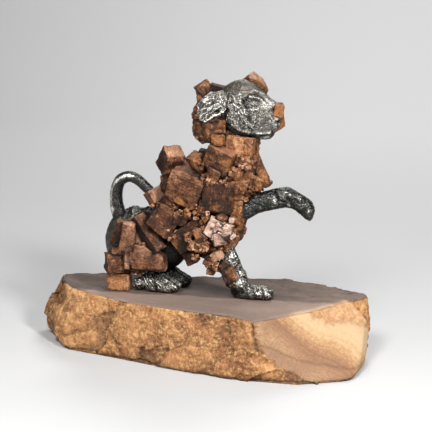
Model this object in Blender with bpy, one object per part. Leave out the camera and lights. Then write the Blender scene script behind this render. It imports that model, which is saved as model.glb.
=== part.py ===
"""Dog figurine: crystal-covered animal with cast metal head, legs and rump on a sandstone slab.

Everything of the animal is placed in its own frame: x forward, y to its left, z up from
the slab's top. The frame is an empty that stands on the slab and is turned on it.
"""
import bpy
import bmesh
import math
from mathutils import Matrix, Vector, noise

MM = 0.001
GAP = 0.3                    # clearance between neighbouring pieces, mm
SLAB_HEIGHT = 56.0           # thickness of the slab, mm
DOG_TURN = 10.0              # turn of the animal on the slab, degrees
DOG_PLACE = (14.0, 6.0)      # middle of the animal on the slab, mm
CHIP = 0.07                  # chipped edge of a crystal as a share of its mean side

# Slab outline seen from above, mm, anticlockwise from the left end:
# (foot x, foot y, top x, top y, bulge); the sides run from foot to top with the bulge between.
SLAB_OUTLINE = (
    (-154, 0, -150, 8, 13), (-150, -20, -143, -10, 11), (-116, -52, -117, -32, 6), (-60, -58, -49, -55, 3),
    (-5, -66, 7, -58, 2), (53, -70, 48, -58, 2), (73, -69, 77, -67, 2), (118, -63, 116, -21, 1),
    (160, -38, 154, 38, 3), (162, 0, 154, 44, 3), (146, 46, 127, 56, 4), (79, 66, 67, 67, 3),
    (17, 54, 15, 54, 3), (-53, 42, -51, 36, 3), (-113, 32, -111, 28, 8),
)
SLAB_SHIFT = (2.0, 0.9)      # brings the middle of the slab's box to the origin
SLAB_RINGS = 5               # rings of faces up the sides
SLAB_ROUGHNESS = 1.6         # depth of the broken sides' relief, mm

# Crystals: name, then one or more blocks of
# (middle x, y, z), (length, width, height), (roll, tilt, yaw): mm and degrees.
# Roll turns a block in side view, tilt leans its top to the right, yaw turns it about its axis.
# An earlier crystal cuts a later one where they grow into each other.
RIGHT_SIDE = (
    ("shoulder_crystal", ((-22, -15, 104), (31, 24, 26), (-20, 15, -5))),
    ("peak_crystal", ((-39, -7, 127), (17, 16, 22), (-25, 25, 30))),
    ("withers_crystal", ((9, -13, 131), (24, 20, 22), (-20, 10, -10))),
    ("chest_crystal", ((8, -16, 96.5), (27, 21, 27), (-5, 0, 0))),
    ("saddle_crystal", ((-43, -19, 73.5), (24, 18, 24), (-39, -8, 8))),
    ("tail_end_crystal", ((-55, -5, 92), (14, 13, 13), (30, -5, 40))),
    ("small_back_crystal", ((-13.5, -11, 129), (13, 14, 14), (30, 20, 35))),
    ("back_wedge_crystal", ((-8, -7, 131), (9, 10, 14), (-10, 0, 0))),
    ("neck_step_crystal", ((5, -20, 118), (12, 10, 10), (-20, 10, -10))),
    ("neck_lower_crystal", ((-3, -15, 111), (14, 12, 9), (-25, 10, 0))),
    ("flank_crystal", ((-20, -12, 59), (33, 24, 21), (35, 5, 5))),
    ("belly_crystal", ((-19, -11, 36), (11, 13, 13), (25, 0, 0))),
    ("ledge_crystal", ((-39, -14, 87), (15, 14, 13), (-40, 0, 10))),
    ("corner_crystal", ((-28, -21, 75), (12, 10, 10), (-25, 0, 20))),
    ("back_hollow_crystal", ((-45, -2, 105), (9, 12, 14), (10, 0, 0))),
    ("pale_crystals", ((5, -24, 69), (15, 10, 18), (-25, 0, 10)), ((14, -25, 67), (15, 11, 12), (-20, 15, 0)),
     ((10, -26, 59), (11, 9, 11), (10, 0, 25)), ((19, -24, 63), (9, 8, 8), (35, 0, 0))),
    ("tan_crystal", ((12, -23, 79), (9, 9, 8), (35, 0, 10))),
    ("bright_crystal", ((20, -20, 75), (5, 5, 5), (-10, 0, 20))),
    ("rough_crystals", ((-5, -23, 87), (9, 8, 13), (-10, 0, 30)), ((-3, -23, 79), (7, 7, 8), (20, 0, 10))),
    ("pocket_crystals", ((-8, -26, 62), (10, 8, 12), (25, 0, 20)), ((-14, -26, 52), (9, 7, 8), (-15, 0, 30)),
     ((-5, -25, 52), (9, 8, 10), (40, 0, 0)), ((-19, -25, 59), (7, 6, 8), (10, 0, 0))),
    ("lower_pink_crystal", ((8, -22, 42), (11, 10, 8), (30, 0, -10))),
    ("lower_crystals", ((0, -19, 34), (10, 9, 8), (-30, 0, 0)), ((7, -19, 31), (9, 9, 8), (-20, 0, 20))),
    ("orange_crystal", ((1, -18, 25), (8, 8, 6), (-5, 0, 0))),
    ("leg_side_crystal", ((17.5, -19, 25), (13, 9, 16), (24, 0, 14))),
)
HAUNCH = (
    ("haunch_bar_crystal", ((-58.5, -20, 59.5), (12, 12, 38), (36, -10, 50))),
    ("haunch_plate_crystal", ((-77.5, -23, 57), (14, 11, 26), (-5, 5, 0)), ((-68, -16, 58), (12, 10, 30), (20, 0, 10))),
    ("haunch_low_crystal", ((-59, -17, 35.5), (31, 18, 26), (-3, 8, -4)), ((-74, -14, 35), (18, 14, 29), (2, 0, 10))),
    ("hock_column_crystal", ((-91, -12, 27), (19, 16, 18), (3, -5, 25))),
    ("hock_block_crystal", ((-90, -9, 8.6), (21, 15, 16), (0, 0, 5))),
    ("hock_small_crystal", ((-90, -15, 40), (9, 9, 7), (10, 0, 10))),
    ("hock_knob_crystal", ((-102, -7, 21), (7, 8, 8), (30, 0, 0))),
    ("rump_sliver_crystal", ((-89, -14, 57), (8, 10, 24), (-20, 0, 10))),
)
HEAD_CRYSTALS = (
    ("brow_crystal", ((35, 10, 195.5), (20, 17, 18), (-25, 10, 30))),
    ("nose_crystal", ((59.5, 7, 167.5), (10, 17, 23), (2, 0, 10))),
    ("crown_crystal", ((-8.8, 2, 193.2), (13, 12, 10.5), (34, 10, 20)), ((-11, 2, 186.5), (9, 11, 13), (8, 0, 10))),
    ("crown_ridge_crystal", ((4, 5, 192.6), (15, 11, 8), (-14, 0, 10))),
    ("nape_crystal", ((-7, -4, 163), (18, 17, 34), (2, 0, 0))),
    ("nape_lower_crystal", ((3.5, -8, 156.5), (20, 16, 21), (5, 0, 6))),
    ("nape_orange_crystal", ((7.5, -16.5, 149), (12, 8, 9.5), (0, 10, 0))),
    ("left_cheek_crystal", ((26, 14, 174), (30, 16, 26), (-5, 0, 0))),
    ("left_jaw_crystal", ((46, 11, 156), (16, 13, 12), (10, 0, 5))),
)
LEFT_SIDE = (
    ("left_shoulder_crystal", ((-16, 17, 101), (28, 22, 26), (12, -5, 10)), ((-28, 13, 113), (16, 16, 16), (-25, 0, 20))),
    ("left_back_crystal", ((-42, 12, 100), (20, 20, 22), (-15, -5, 15))),
    ("left_withers_crystal", ((6, 12, 127), (22, 18, 22), (15, 0, -10)), ((-9, 10, 121), (15, 14, 14), (-30, 0, 10))),
    ("left_chest_crystal", ((14, 17, 99), (24, 20, 24), (-12, 0, 5)), ((26, 14, 112), (16, 14, 16), (25, 0, 15))),
    ("left_flank_crystal", ((-24, 17, 65), (30, 22, 27), (24, 5, 10)), ((-6, 19, 73), (17, 15, 17), (-10, 0, 25))),
    ("left_saddle_crystal", ((-49, 16, 73), (24, 18, 24), (-10, 0, -15))),
    ("left_haunch_crystal", ((-77, 18, 54), (23, 14, 28), (12, 0, 0)), ((-90, 13, 38), (15, 13, 17), (-15, 0, 10))),
    ("left_thigh_crystal", ((-56, 19, 40), (24, 15, 24), (-25, 0, 10)), ((-66, 17, 24), (16, 12, 15), (10, 0, 15))),
    ("left_brisket_crystal", ((15, 15, 71), (22, 16, 20), (14, 0, 0)), ((12, 12, 54), (16, 13, 16), (-20, 0, 20))),
    ("left_belly_crystal", ((-6, 14, 46), (17, 14, 16), (25, 0, 10))),
)

# Castings and the rock: ellipsoids ((middle), (half axes), roll) and limbs (points with radii), mm.
HIND_BALLS = (
    ((-76, 0, 46), (30, 19, 33), 0), ((-47, 3, 40), (22, 15, 20), -20),
    ((-50, -9, 9), (17, 10, 9), -10), ((-70, -8, 6), (7, 6, 7), 0), ((-36, 8, 8), (15, 10, 8), -15),
    ((-52, 8, 22), (16, 11, 18), -30),
)
TAIL_PATH = (
    (-86, 0, 60, 7.5), (-91, 0, 72, 6.6), (-93.5, 0, 85, 6.0), (-92.5, 0, 97, 5.7), (-88.5, 0, 105, 5.5),
    (-80.5, 0, 108.5, 5.2), (-72, 0, 105.5, 5.0), (-62.5, 0, 97, 4.8), (-57, -1, 92, 4.6),
)
BACK_PATH = ((-86, 0, 70, 7), (-74, -2, 73, 7), (-60, -3, 75, 6.5))
HEAD_BALLS = (
    ((24, -3, 180), (24, 18, 21), 0), ((36, -7, 187), (11, 11, 7), -15), ((49, -2, 177), (13, 10, 10), -20),
    ((49, -3, 165), (13, 11, 13), -10), ((60, -4, 169), (4.5, 6, 5), 0), ((46, -6, 157), (14, 8, 7), 5),
    ((36, -4, 153), (20, 8, 6), 0), ((27, -9, 166), (14, 10, 14), 0),
)
EAR_BALLS = (((-1, -16, 177), (15, 4, 11), 30), ((11, -15, 185), (11, 5, 10), 20), ((-8, -15, 171), (5, 3.5, 6), 0))
RAISED_PATH = (
    (24, -4, 81, 9), (34, -3, 83, 9), (48, -1, 87.5, 9), (60, 1, 91, 8.7), (70, 3, 91, 8.7),
    (79, 4, 86.5, 8.7), (86, 5, 79.5, 7.5),
)
PLANTED_PATH = (
    (12, -11, 47, 8), (16, -13, 40, 7.8), (19.5, -14, 32.5, 7.8), (22.5, -15, 25, 7.8), (25.5, -15, 18, 8), (28.5, -15, 9, 8),
)
PLANTED_BALLS = (((39, -15, 4), (19, 9.5, 8), -4),)
ROCK_BALLS = (
    ((24, 3, 141), (17, 15, 22), 0), ((25, 5, 117), (19, 14, 22), 10), ((30, 5, 104), (17, 13, 14), 0),
    ((16, -6, 137), (12, 9, 22), 0), ((12, -6, 112), (16, 10, 20), 0), ((9, -5, 88), (13, 11, 18), 0),
    ((0, 0, 104), (30, 12, 24), 0), ((-26, 0, 92), (26, 12, 22), -20), ((-20, 0, 66), (28, 12, 20), 10),
    ((13, 1, 70), (18, 12, 24), 10), ((10, -5, 50), (14, 12, 16), 10), ((-4, -4, 50), (18, 11, 18), 0),
)


def clear_scene():
    for item in list(bpy.data.objects):
        bpy.data.objects.remove(item, do_unlink=True)


def make_material(name, color, roughness, metallic=0.0):
    material = bpy.data.materials.new(name)
    material.use_nodes = True
    shader = material.node_tree.nodes["Principled BSDF"]
    shader.inputs["Base Color"].default_value = (*color, 1.0)
    shader.inputs["Roughness"].default_value = roughness
    shader.inputs["Metallic"].default_value = metallic
    material.diffuse_color = (*color, 1.0)
    return material


def add_object(name, mesh, material=None, parent=None):
    item = bpy.data.objects.new(name, mesh)
    bpy.context.collection.objects.link(item)
    if material:
        mesh.materials.append(material)
    item.parent = parent
    return item


def mesh_from(bm, name):
    bmesh.ops.recalc_face_normals(bm, faces=bm.faces)
    mesh = bpy.data.meshes.new(name)
    bm.to_mesh(mesh)
    bm.free()
    return mesh


def as_guide(item):
    item.hide_render = True
    item.display_type = 'WIRE'
    return item


def boolean(target, cutter, operation='DIFFERENCE'):
    modifier = target.modifiers.new(operation.lower(), 'BOOLEAN')
    modifier.operation = operation
    modifier.solver = 'EXACT'
    modifier.object = cutter


def slab_mesh():
    """Rings between the foot and the top outline, pushed in and out by a smooth noise."""
    bm = bmesh.new()
    rings = []
    spans = len(SLAB_OUTLINE)
    for level in range(SLAB_RINGS + 1):
        rise = level / SLAB_RINGS
        ring = []
        for index in range(spans * 3):
            start = SLAB_OUTLINE[index // 3]
            end = SLAB_OUTLINE[(index // 3 + 1) % spans]
            along = index % 3 / 3
            foot = Vector(start[:2]).lerp(Vector(end[:2]), along)
            top = Vector(start[2:4]).lerp(Vector(end[2:4]), along)
            place = foot.lerp(top, rise)
            bulge = start[4] + (end[4] - start[4]) * along
            rough = noise.noise(Vector((place.x / 22, place.y / 22, rise * 2.5)))
            reach = math.sin(math.pi * rise ** 0.7) * (bulge + SLAB_ROUGHNESS * 2 * rough)
            place += place.normalized() * reach
            place += Vector(SLAB_SHIFT)
            ring.append(bm.verts.new((place.x * MM, place.y * MM, rise * SLAB_HEIGHT * MM)))
        rings.append(ring)
    for lower, upper in zip(rings, rings[1:]):
        for index in range(len(lower)):
            after = (index + 1) % len(lower)
            bm.faces.new((lower[index], lower[after], upper[after], upper[index]))
    bm.faces.new(list(reversed(rings[0])))
    bm.faces.new(rings[-1])
    bmesh.ops.triangulate(bm, faces=[face for face in bm.faces if len(face.verts) == 4])
    return mesh_from(bm, "stone_base")


def block_turn(turn):
    roll, tilt, yaw = (math.radians(angle) for angle in turn)
    return Matrix.Rotation(-roll, 3, 'Y') @ Matrix.Rotation(tilt, 3, 'X') @ Matrix.Rotation(yaw, 3, 'Z')


def block_mesh(name, size, grow=0.0):
    """A chipped block, or the plain box around it where it grows to cut a neighbour."""
    bm = bmesh.new()
    bmesh.ops.create_cube(bm, size=1.0)
    full = Vector(size) + Vector((2 * grow,) * 3)
    bmesh.ops.scale(bm, vec=full * MM, verts=bm.verts)
    if not grow:
        chip = CHIP * sum(size) / 3
        bmesh.ops.bevel(bm, geom=list(bm.edges), offset=chip * MM, segments=1, affect='EDGES')
    return mesh_from(bm, name)


def add_block(name, block, parent, grow=0.0, material=None):
    place, size, turn = block
    item = add_object(name, block_mesh(name, size, grow), material, parent)
    item.matrix_local = Matrix.Translation(Vector(place) * MM) @ block_turn(turn).to_4x4()
    return item


def blocks_meet(first, second):
    """Separating-axis test of two turned boxes, each grown by the gap."""
    turn_a, turn_b = block_turn(first[2]), block_turn(second[2])
    axes_a, axes_b = turn_a.col, turn_b.col
    half_a = [side / 2 + GAP for side in first[1]]
    half_b = [side / 2 + GAP for side in second[1]]
    offset = Vector(second[0]) - Vector(first[0])
    tries = list(axes_a) + list(axes_b) + [a.cross(b) for a in axes_a for b in axes_b]
    for axis in tries:
        if axis.length < 1e-4:
            continue
        reach = sum(h * abs(axis.dot(a)) for h, a in zip(half_a, axes_a))
        reach += sum(h * abs(axis.dot(b)) for h, b in zip(half_b, axes_b))
        if abs(axis.dot(offset)) > reach:
            return False
    return True


def block_nears_body(block, balls, paths):
    """True where a ball or a limb's stretch may reach into the block."""
    turn = block_turn(block[2]).transposed()
    reaches = [(Vector(place), max(half)) for place, half, roll in balls]
    for path in paths:
        for start, end in zip(path, path[1:]):
            run = Vector(end[:3]) - Vector(start[:3])
            reaches.append((Vector(start[:3]) + run / 2, run.length / 2 + max(start[3], end[3])))
    for middle, radius in reaches:
        local = turn @ (middle - Vector(block[0]))
        outside = Vector([max(0, abs(side) - size / 2) for side, size in zip(local, block[1])])
        if outside.length < radius + GAP:
            return True
    return False


def add_crystals(table, material, dog, grown):
    """Each crystal is one block or a union of blocks, cut by the crystals before it."""
    for name, *blocks in table:
        piece = add_block(name, blocks[0], dog, 0.0, material)
        for number, block in enumerate(blocks[1:], 2):
            boolean(piece, as_guide(add_block(f"{name}_part_{number}", block, dog)), 'UNION')
        for other, cutter in grown:
            if any(blocks_meet(block, other) for block in blocks):
                boolean(piece, cutter)
        for number, block in enumerate(blocks, 1):
            grown.append((block, as_guide(add_block(f"{name}_room_{number}", block, dog, GAP))))


def add_ball(bm, ball, grow):
    place, half, roll = ball
    made = bmesh.ops.create_icosphere(bm, subdivisions=3, radius=1.0)
    turn = Matrix.Rotation(-math.radians(roll), 4, 'Y')
    scale = Matrix.Diagonal((*[(side + grow) * MM for side in half], 1.0))
    bmesh.ops.transform(bm, matrix=Matrix.Translation(Vector(place) * MM) @ turn @ scale, verts=made["verts"])


def add_limb(bm, path, grow):
    """Balls along a path, close enough to read as one tapered limb."""
    for start, end in zip(path, path[1:]):
        run = (Vector(end[:3]) - Vector(start[:3])).length
        steps = max(2, round(run / 2.5))
        for step in range(steps + 1):
            x, y, z, radius = (a + (b - a) * step / steps for a, b in zip(start, end))
            add_ball(bm, ((x, y, z), (radius, radius, radius), 0), grow)


def body_mesh(name, balls, paths, grow=0.0):
    bm = bmesh.new()
    for ball in balls:
        add_ball(bm, ball, grow)
    for path in paths:
        add_limb(bm, path, grow)
    return mesh_from(bm, name)


def add_body(name, balls, paths, parent, voxel, share, material=None, grow=0.0):
    """Joined balls and limbs fused to one skin, then thinned to a share of its faces."""
    item = add_object(name, body_mesh(name, balls, paths, grow), material, parent)
    fuse = item.modifiers.new("fuse", 'REMESH')
    fuse.mode = 'VOXEL'
    fuse.voxel_size = voxel * MM
    thin = item.modifiers.new("thin", 'DECIMATE')
    thin.ratio = share
    thin.use_collapse_triangulate = True
    return item


def build():
    clear_scene()
    stone = make_material("sandstone", (0.42, 0.26, 0.13), 0.9)
    crystal = make_material("limonite", (0.16, 0.07, 0.035), 0.75)
    pale = make_material("pale_crystal", (0.5, 0.33, 0.26), 0.6)
    metal = make_material("silvered_metal", (0.36, 0.34, 0.3), 0.4, 1.0)
    dark_metal = make_material("dark_metal", (0.08, 0.08, 0.075), 0.4, 1.0)

    slab = add_object("stone_base", slab_mesh(), stone)
    dog = bpy.data.objects.new("dog_frame", None)
    bpy.context.collection.objects.link(dog)
    dog.location = (DOG_PLACE[0] * MM, DOG_PLACE[1] * MM, SLAB_HEIGHT * MM)
    dog.rotation_euler.z = math.radians(DOG_TURN)

    grown = []
    add_crystals(RIGHT_SIDE, crystal, dog, grown)
    add_crystals(HAUNCH, crystal, dog, grown)
    add_crystals(HEAD_CRYSTALS, crystal, dog, grown)
    add_crystals(LEFT_SIDE, crystal, dog, grown)
    for item in bpy.data.objects:
        if item.name in ("pale_crystals", "bright_crystal"):
            item.data.materials[0] = pale

    # The slab's top as a cutter, so that feet and blocks stop just above it.
    ground = bmesh.new()
    bmesh.ops.create_cube(ground, size=1.0)
    bmesh.ops.scale(ground, vec=(0.4, 0.2, 0.04), verts=ground.verts)
    bmesh.ops.translate(ground, vec=(0, 0, GAP * MM - 0.02), verts=ground.verts)
    floor = as_guide(add_object("slab_top_room", mesh_from(ground, "slab_top_room"), None, dog))

    hind = add_body("hindquarters_casting", HIND_BALLS, (TAIL_PATH, BACK_PATH), dog, 1.6, 0.042, dark_metal)
    head = add_body("head_casting", HEAD_BALLS + EAR_BALLS, (), dog, 1.4, 0.072, metal)
    raised = add_body("raised_foreleg", (), (RAISED_PATH,), dog, 1.5, 0.07, dark_metal)
    planted = add_body("planted_foreleg", PLANTED_BALLS, (PLANTED_PATH,), dog, 1.5, 0.07, metal)
    rock = add_body("chest_rock", ROCK_BALLS, (), dog, 3.0, 0.053, crystal)
    boolean(hind, floor)
    boolean(planted, floor)

    for item, balls, paths in (
        (hind, HIND_BALLS, (TAIL_PATH, BACK_PATH)), (head, HEAD_BALLS + EAR_BALLS, ()),
        (raised, (), (RAISED_PATH,)), (planted, PLANTED_BALLS, (PLANTED_PATH,)), (rock, ROCK_BALLS, ()),
    ):
        for block, cutter in grown:
            if block_nears_body(block, balls, paths):
                boolean(item, cutter)

    rooms = (
        ("hind_room", HIND_BALLS[:2], (BACK_PATH,)), ("head_room", HEAD_BALLS + EAR_BALLS, ()),
        ("raised_room", (), (RAISED_PATH,)), ("planted_room", PLANTED_BALLS, (PLANTED_PATH,)),
    )
    for name, balls, paths in rooms:
        boolean(rock, as_guide(add_body(name, balls, paths, dog, 1.5, 0.03, None, GAP * 5)))


build()
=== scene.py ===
import math
from itertools import product

import bpy
import numpy as np
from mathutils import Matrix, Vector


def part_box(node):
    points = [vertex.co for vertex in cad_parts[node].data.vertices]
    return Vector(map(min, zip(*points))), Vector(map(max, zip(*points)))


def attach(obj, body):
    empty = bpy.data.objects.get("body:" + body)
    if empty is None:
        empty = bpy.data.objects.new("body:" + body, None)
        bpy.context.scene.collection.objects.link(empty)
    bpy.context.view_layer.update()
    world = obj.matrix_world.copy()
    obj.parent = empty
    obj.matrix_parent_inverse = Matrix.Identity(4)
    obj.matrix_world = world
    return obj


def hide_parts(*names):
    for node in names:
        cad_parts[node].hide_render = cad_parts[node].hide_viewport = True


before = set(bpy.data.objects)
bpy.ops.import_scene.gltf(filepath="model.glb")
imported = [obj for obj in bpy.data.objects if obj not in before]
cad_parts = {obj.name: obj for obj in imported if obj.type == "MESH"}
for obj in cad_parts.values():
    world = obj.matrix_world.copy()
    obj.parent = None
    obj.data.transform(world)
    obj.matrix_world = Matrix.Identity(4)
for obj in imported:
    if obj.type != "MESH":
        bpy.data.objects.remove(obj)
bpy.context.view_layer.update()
print("frame loaded:", len(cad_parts), "nodes")

# The animal has its own frame, in mm: x forward, y to its left, z up from the slab's top; its feet end at
# ground.
dog = dict(turn=math.radians(10), place=np.array((14.0, 6.0, 56.0)), ground=0.4)


def toScene(points):
    # turned about z, moved to the slab's top, and mm to metres
    c, s = math.cos(dog["turn"]), math.sin(dog["turn"])
    x, y, z = np.asarray(points, float).T
    return (np.stack([c * x - s * y, s * x + c * y, z], 1) + dog["place"]) * 0.001


# Noise and surface helpers work on whole arrays of points, in mm.


def latticeBits(corner, seed):
    # a whole-number corner becomes a fixed random whole number: multiply by primes, mix, shift
    mixed = (corner[..., 0] * 73856093) ^ (corner[..., 1] * 19349663) ^ (corner[..., 2] * 83492791)
    mixed = (mixed ^ (seed * 2654435 + 977)) & 0x7FFFFFFF
    mixed = ((mixed ^ (mixed >> 13)) * 1274126177) & 0x7FFFFFFF
    mixed = ((mixed ^ (mixed >> 15)) * 668265263) & 0x7FFFFFFF
    return mixed ^ (mixed >> 12)


def threeBytes(bits):
    return np.stack([bits & 255, (bits >> 8) & 255, (bits >> 16) & 255], 1)


def softNoise(points, size, seed):
    # gradient noise, about -1..1: random slopes at the corners of a lattice, blended by a quintic
    scaled = points / size
    corner = np.floor(scaled).astype(np.int64)
    part = scaled - corner
    blend = part ** 3 * (part * (part * 6 - 15) + 10)
    total = np.zeros(len(points))
    for offset in product((0, 1), repeat=3):
        slope = threeBytes(latticeBits(corner + np.array(offset), seed)) / 127.5 - 1
        weight = np.prod(np.where(np.array(offset), blend, 1 - blend), 1)
        total += weight * ((part - offset) * slope).sum(1)
    return total * 1.5


def layeredNoise(points, size, layers, seed):
    # finer and weaker noises added up
    return sum(0.5 ** k * softNoise(points, size / 2 ** k, seed + k) for k in range(layers))


def ridgeNoise(points, size, layers, seed):
    # 1 - |noise|, squared: winding crests with soft valleys, 0..1
    total, weight = 0, 0
    for k in range(layers):
        total = total + 0.5 ** k * (1 - np.abs(softNoise(points, size / 2 ** k, seed + k))) ** 2
        weight += 0.5 ** k
    return total / weight


def warpNoise(points, size, reach, seed):
    # points pushed about by three noises
    return points + reach * np.stack([softNoise(points, size, seed + k) for k in range(3)], 1)


def cellNoise(points, size, seed):
    # distance to the nearest and second nearest random seed point, the way to the nearest, and its random
    # number
    scaled = points / size
    corner = np.floor(scaled).astype(np.int64)
    near = np.full(len(points), 9.0)
    second = near.copy()
    way = np.zeros((len(points), 3))
    kind = np.zeros(len(points), np.int64)
    for offset in product((-1, 0, 1), repeat=3):
        bits = latticeBits(corner + np.array(offset), seed)
        gap = scaled - (corner + np.array(offset) + threeBytes(bits) / 255)
        reach = np.sqrt((gap ** 2).sum(1))
        closer = reach < near
        second = np.where(closer, near, np.minimum(second, reach))
        near = np.where(closer, reach, near)
        way[closer] = gap[closer]
        kind[closer] = bits[closer]
    return near, second, way, kind


def facetNoise(points, size, seed):
    # each random cell is a flat facet with its own height and slope, like grown-together crystals
    near, second, way, kind = cellNoise(points, size, seed)
    slope = np.stack([(kind >> 3) & 63, (kind >> 9) & 63, (kind >> 15) & 63], 1) / 31.5 - 1
    return (way * slope).sum(1) * 0.8 + ((kind >> 5) & 127) / 127 - 0.5, second - near


def ease(low, high, value):
    # 0 below low, 1 above high, a smooth cubic between
    t = np.clip((value - low) / (high - low), 0, 1)
    return t * t * (3 - 2 * t)


def spin(roll, tilt, yaw):
    # roll turns in side view, tilt leans to the right, yaw turns about the block's own upright
    r, t, y = (math.radians(angle) for angle in (roll, tilt, yaw))
    turnY = np.array([[math.cos(r), 0, -math.sin(r)], [0, 1, 0], [math.sin(r), 0, math.cos(r)]])
    turnX = np.array([[1, 0, 0], [0, math.cos(t), -math.sin(t)], [0, math.sin(t), math.cos(t)]])
    turnZ = np.array([[math.cos(y), -math.sin(y), 0], [math.sin(y), math.cos(y), 0], [0, 0, 1]])
    return turnY @ turnX @ turnZ


gridStore = {}


def boxGrid(counts):
    # six faces of a box, each a grid of two parameters in -1..1, with the seams merged
    counts = tuple(int(c) for c in counts)
    if counts in gridStore:
        return gridStore[counts]
    spots, quads, start = [], [], 0
    for axis in range(3):
        a, b = (axis + 1) % 3, (axis + 2) % 3
        for side in (0, 1):
            u, v = np.meshgrid(np.arange(counts[a] + 1), np.arange(counts[b] + 1), indexing="ij")
            spot = np.zeros(u.shape + (3,), int)
            spot[..., a], spot[..., b], spot[..., axis] = u, v, side * counts[axis]
            index = start + np.arange(u.size).reshape(u.shape)
            ring = [index[:-1, :-1], index[1:, :-1], index[1:, 1:], index[:-1, 1:]]
            if not side:
                ring.reverse()
            quads.append(np.stack([corner.ravel() for corner in ring], 1))
            spots.append(spot.reshape(-1, 3))
            start += u.size
    merged, inverse = np.unique(np.concatenate(spots), axis=0, return_inverse=True)
    gridStore[counts] = (merged / np.array(counts) * 2 - 1, inverse.reshape(-1)[np.concatenate(quads)])
    return gridStore[counts]


def bell(value, width, power=2):
    # 1 at zero, falling to 0.37 at the width
    return np.exp(-(value / width) ** power)


def away(points, middle):
    return np.linalg.norm(points - np.array(middle), axis=1)


def oneLong(vectors):
    return vectors / np.linalg.norm(vectors, axis=-1, keepdims=True)


def roundGrid(count):
    # the cube's grid pushed out to a ball: tangent spacing keeps the quads even
    unit, quads = boxGrid((count, count, count))
    return oneLong(np.tan(unit * math.pi / 4)), quads


def surfaceNormals(points, quads):
    # the cross product of each quad's diagonals, summed at its corners
    facing = np.cross(points[quads[:, 2]] - points[quads[:, 0]], points[quads[:, 3]] - points[quads[:, 1]])
    corners = quads.ravel()
    total = np.stack([np.bincount(corners, np.repeat(facing[:, k], 4), len(points)) for k in range(3)], 1)
    return total / np.maximum(np.linalg.norm(total, axis=1, keepdims=True), 1e-12)


def relax(points, quads, rounds):
    # each point moves half way to the mean of its neighbours
    first, second = quads.ravel(), np.roll(quads, -1, 1).ravel()
    count = np.bincount(first, minlength=len(points)) + np.bincount(second, minlength=len(points))
    for _ in range(rounds):
        mean = np.stack([np.bincount(first, points[second, k], len(points))
                         + np.bincount(second, points[first, k], len(points)) for k in range(3)], 1)
        points = 0.5 * points + 0.5 * mean / count[:, None]
    return points


def readTable(places, table):
    # straight lines between a table's (place, value) stops
    return np.interp(places, *np.array(table).T)


def lineDistance(spots, path):
    # distance from 2-D spots to a line of points
    best = np.full(len(spots), 1e9)
    for start, end in zip(path, path[1:]):
        run = end - start
        t = np.clip(((spots - start) @ run) / (run @ run), 0, 1)
        best = np.minimum(best, np.linalg.norm(spots - start - t[:, None] * run, axis=1))
    return best


def smoothPath(stops, steps):
    # a Catmull-Rom line through the stops, every column eased alike
    stops = np.asarray(stops, float)
    padded = np.concatenate([[2 * stops[0] - stops[1]], stops, [2 * stops[-1] - stops[-2]]])
    place = np.linspace(0, len(stops) - 1, steps)
    k = np.minimum(place.astype(int), len(stops) - 2)
    t = (place - k)[:, None]
    a, b, c, d = padded[k], padded[k + 1], padded[k + 2], padded[k + 3]
    return 0.5 * (2 * b + (c - a) * t + (2 * a - 5 * b + 4 * c - d) * t ** 2
                  + (3 * b - a - 3 * c + d) * t ** 3)


def ringFaces(rows, around):
    # quads between neighbouring rings of points, and fans from the two points after them that close the ends
    index = np.arange(rows * around).reshape(rows, around)
    after = np.roll(index, -1, 1)
    quads = np.stack([index[:-1], after[:-1], after[1:], index[1:]], -1).reshape(-1, 4)
    start, end = np.full(around, rows * around), np.full(around, rows * around + 1)
    return quads, np.concatenate([np.stack([start, after[0], index[0]], 1),
                                  np.stack([end, index[-1], after[-1]], 1)])


def roundEnds(centre, reach):
    # seven more rings round off each end of a line: the ring middles, their shares of the full size, the ring
    # of the line that each one copies, and its heading
    heading = oneLong(np.gradient(centre, axis=0))
    cap = np.linspace(0, math.pi / 2, 9)[1:-1]
    first = centre[0] - heading[0] * reach[0] * np.sin(cap[::-1])[:, None]
    last = centre[-1] + heading[-1] * reach[-1] * np.sin(cap)[:, None]
    shrink = np.concatenate([np.cos(cap[::-1]), np.ones(len(centre)), np.cos(cap)])
    source = np.clip(np.arange(-len(cap), len(centre) + len(cap)), 0, len(centre) - 1)
    return np.concatenate([first, centre, last]), shrink, source, heading[source]


def ringsToMesh(centre, rings, angle):
    # rings about their middles joined row to row and closed; also each point's place along and around, for
    # marks
    rows, around = rings.shape[:2]
    tips = [centre[0] * 1.15 - centre[1] * 0.15, centre[-1] * 1.15 - centre[-2] * 0.15]
    points = np.concatenate([(centre[:, None] + rings).reshape(-1, 3), tips])
    t = np.concatenate([np.repeat(np.linspace(0, 1, rows), around), [0, 1]])
    return points, *ringFaces(rows, around), t, np.concatenate([np.tile(angle, rows), [0, 0]])


def tube(stops, along, around):
    # a round profile carried along a path, its radius easing to nothing at both rounded ends;
    # the section's first axis is sideways and its second is across the path in side view
    line = smoothPath(stops, along)
    centre, shrink, source, heading = roundEnds(line[:, :3], line[:, 3])
    radius = line[source, 3] * shrink
    side = np.cross(oneLong(np.cross(heading, (0, 1, 0))), heading)
    over = np.cross(heading, side)
    angle = np.linspace(0, 2 * math.pi, around, endpoint=False)
    ring = side[:, None] * np.cos(angle)[None, :, None] + over[:, None] * np.sin(angle)[None, :, None]
    return ringsToMesh(centre, ring * radius[:, None, None], angle)


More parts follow.
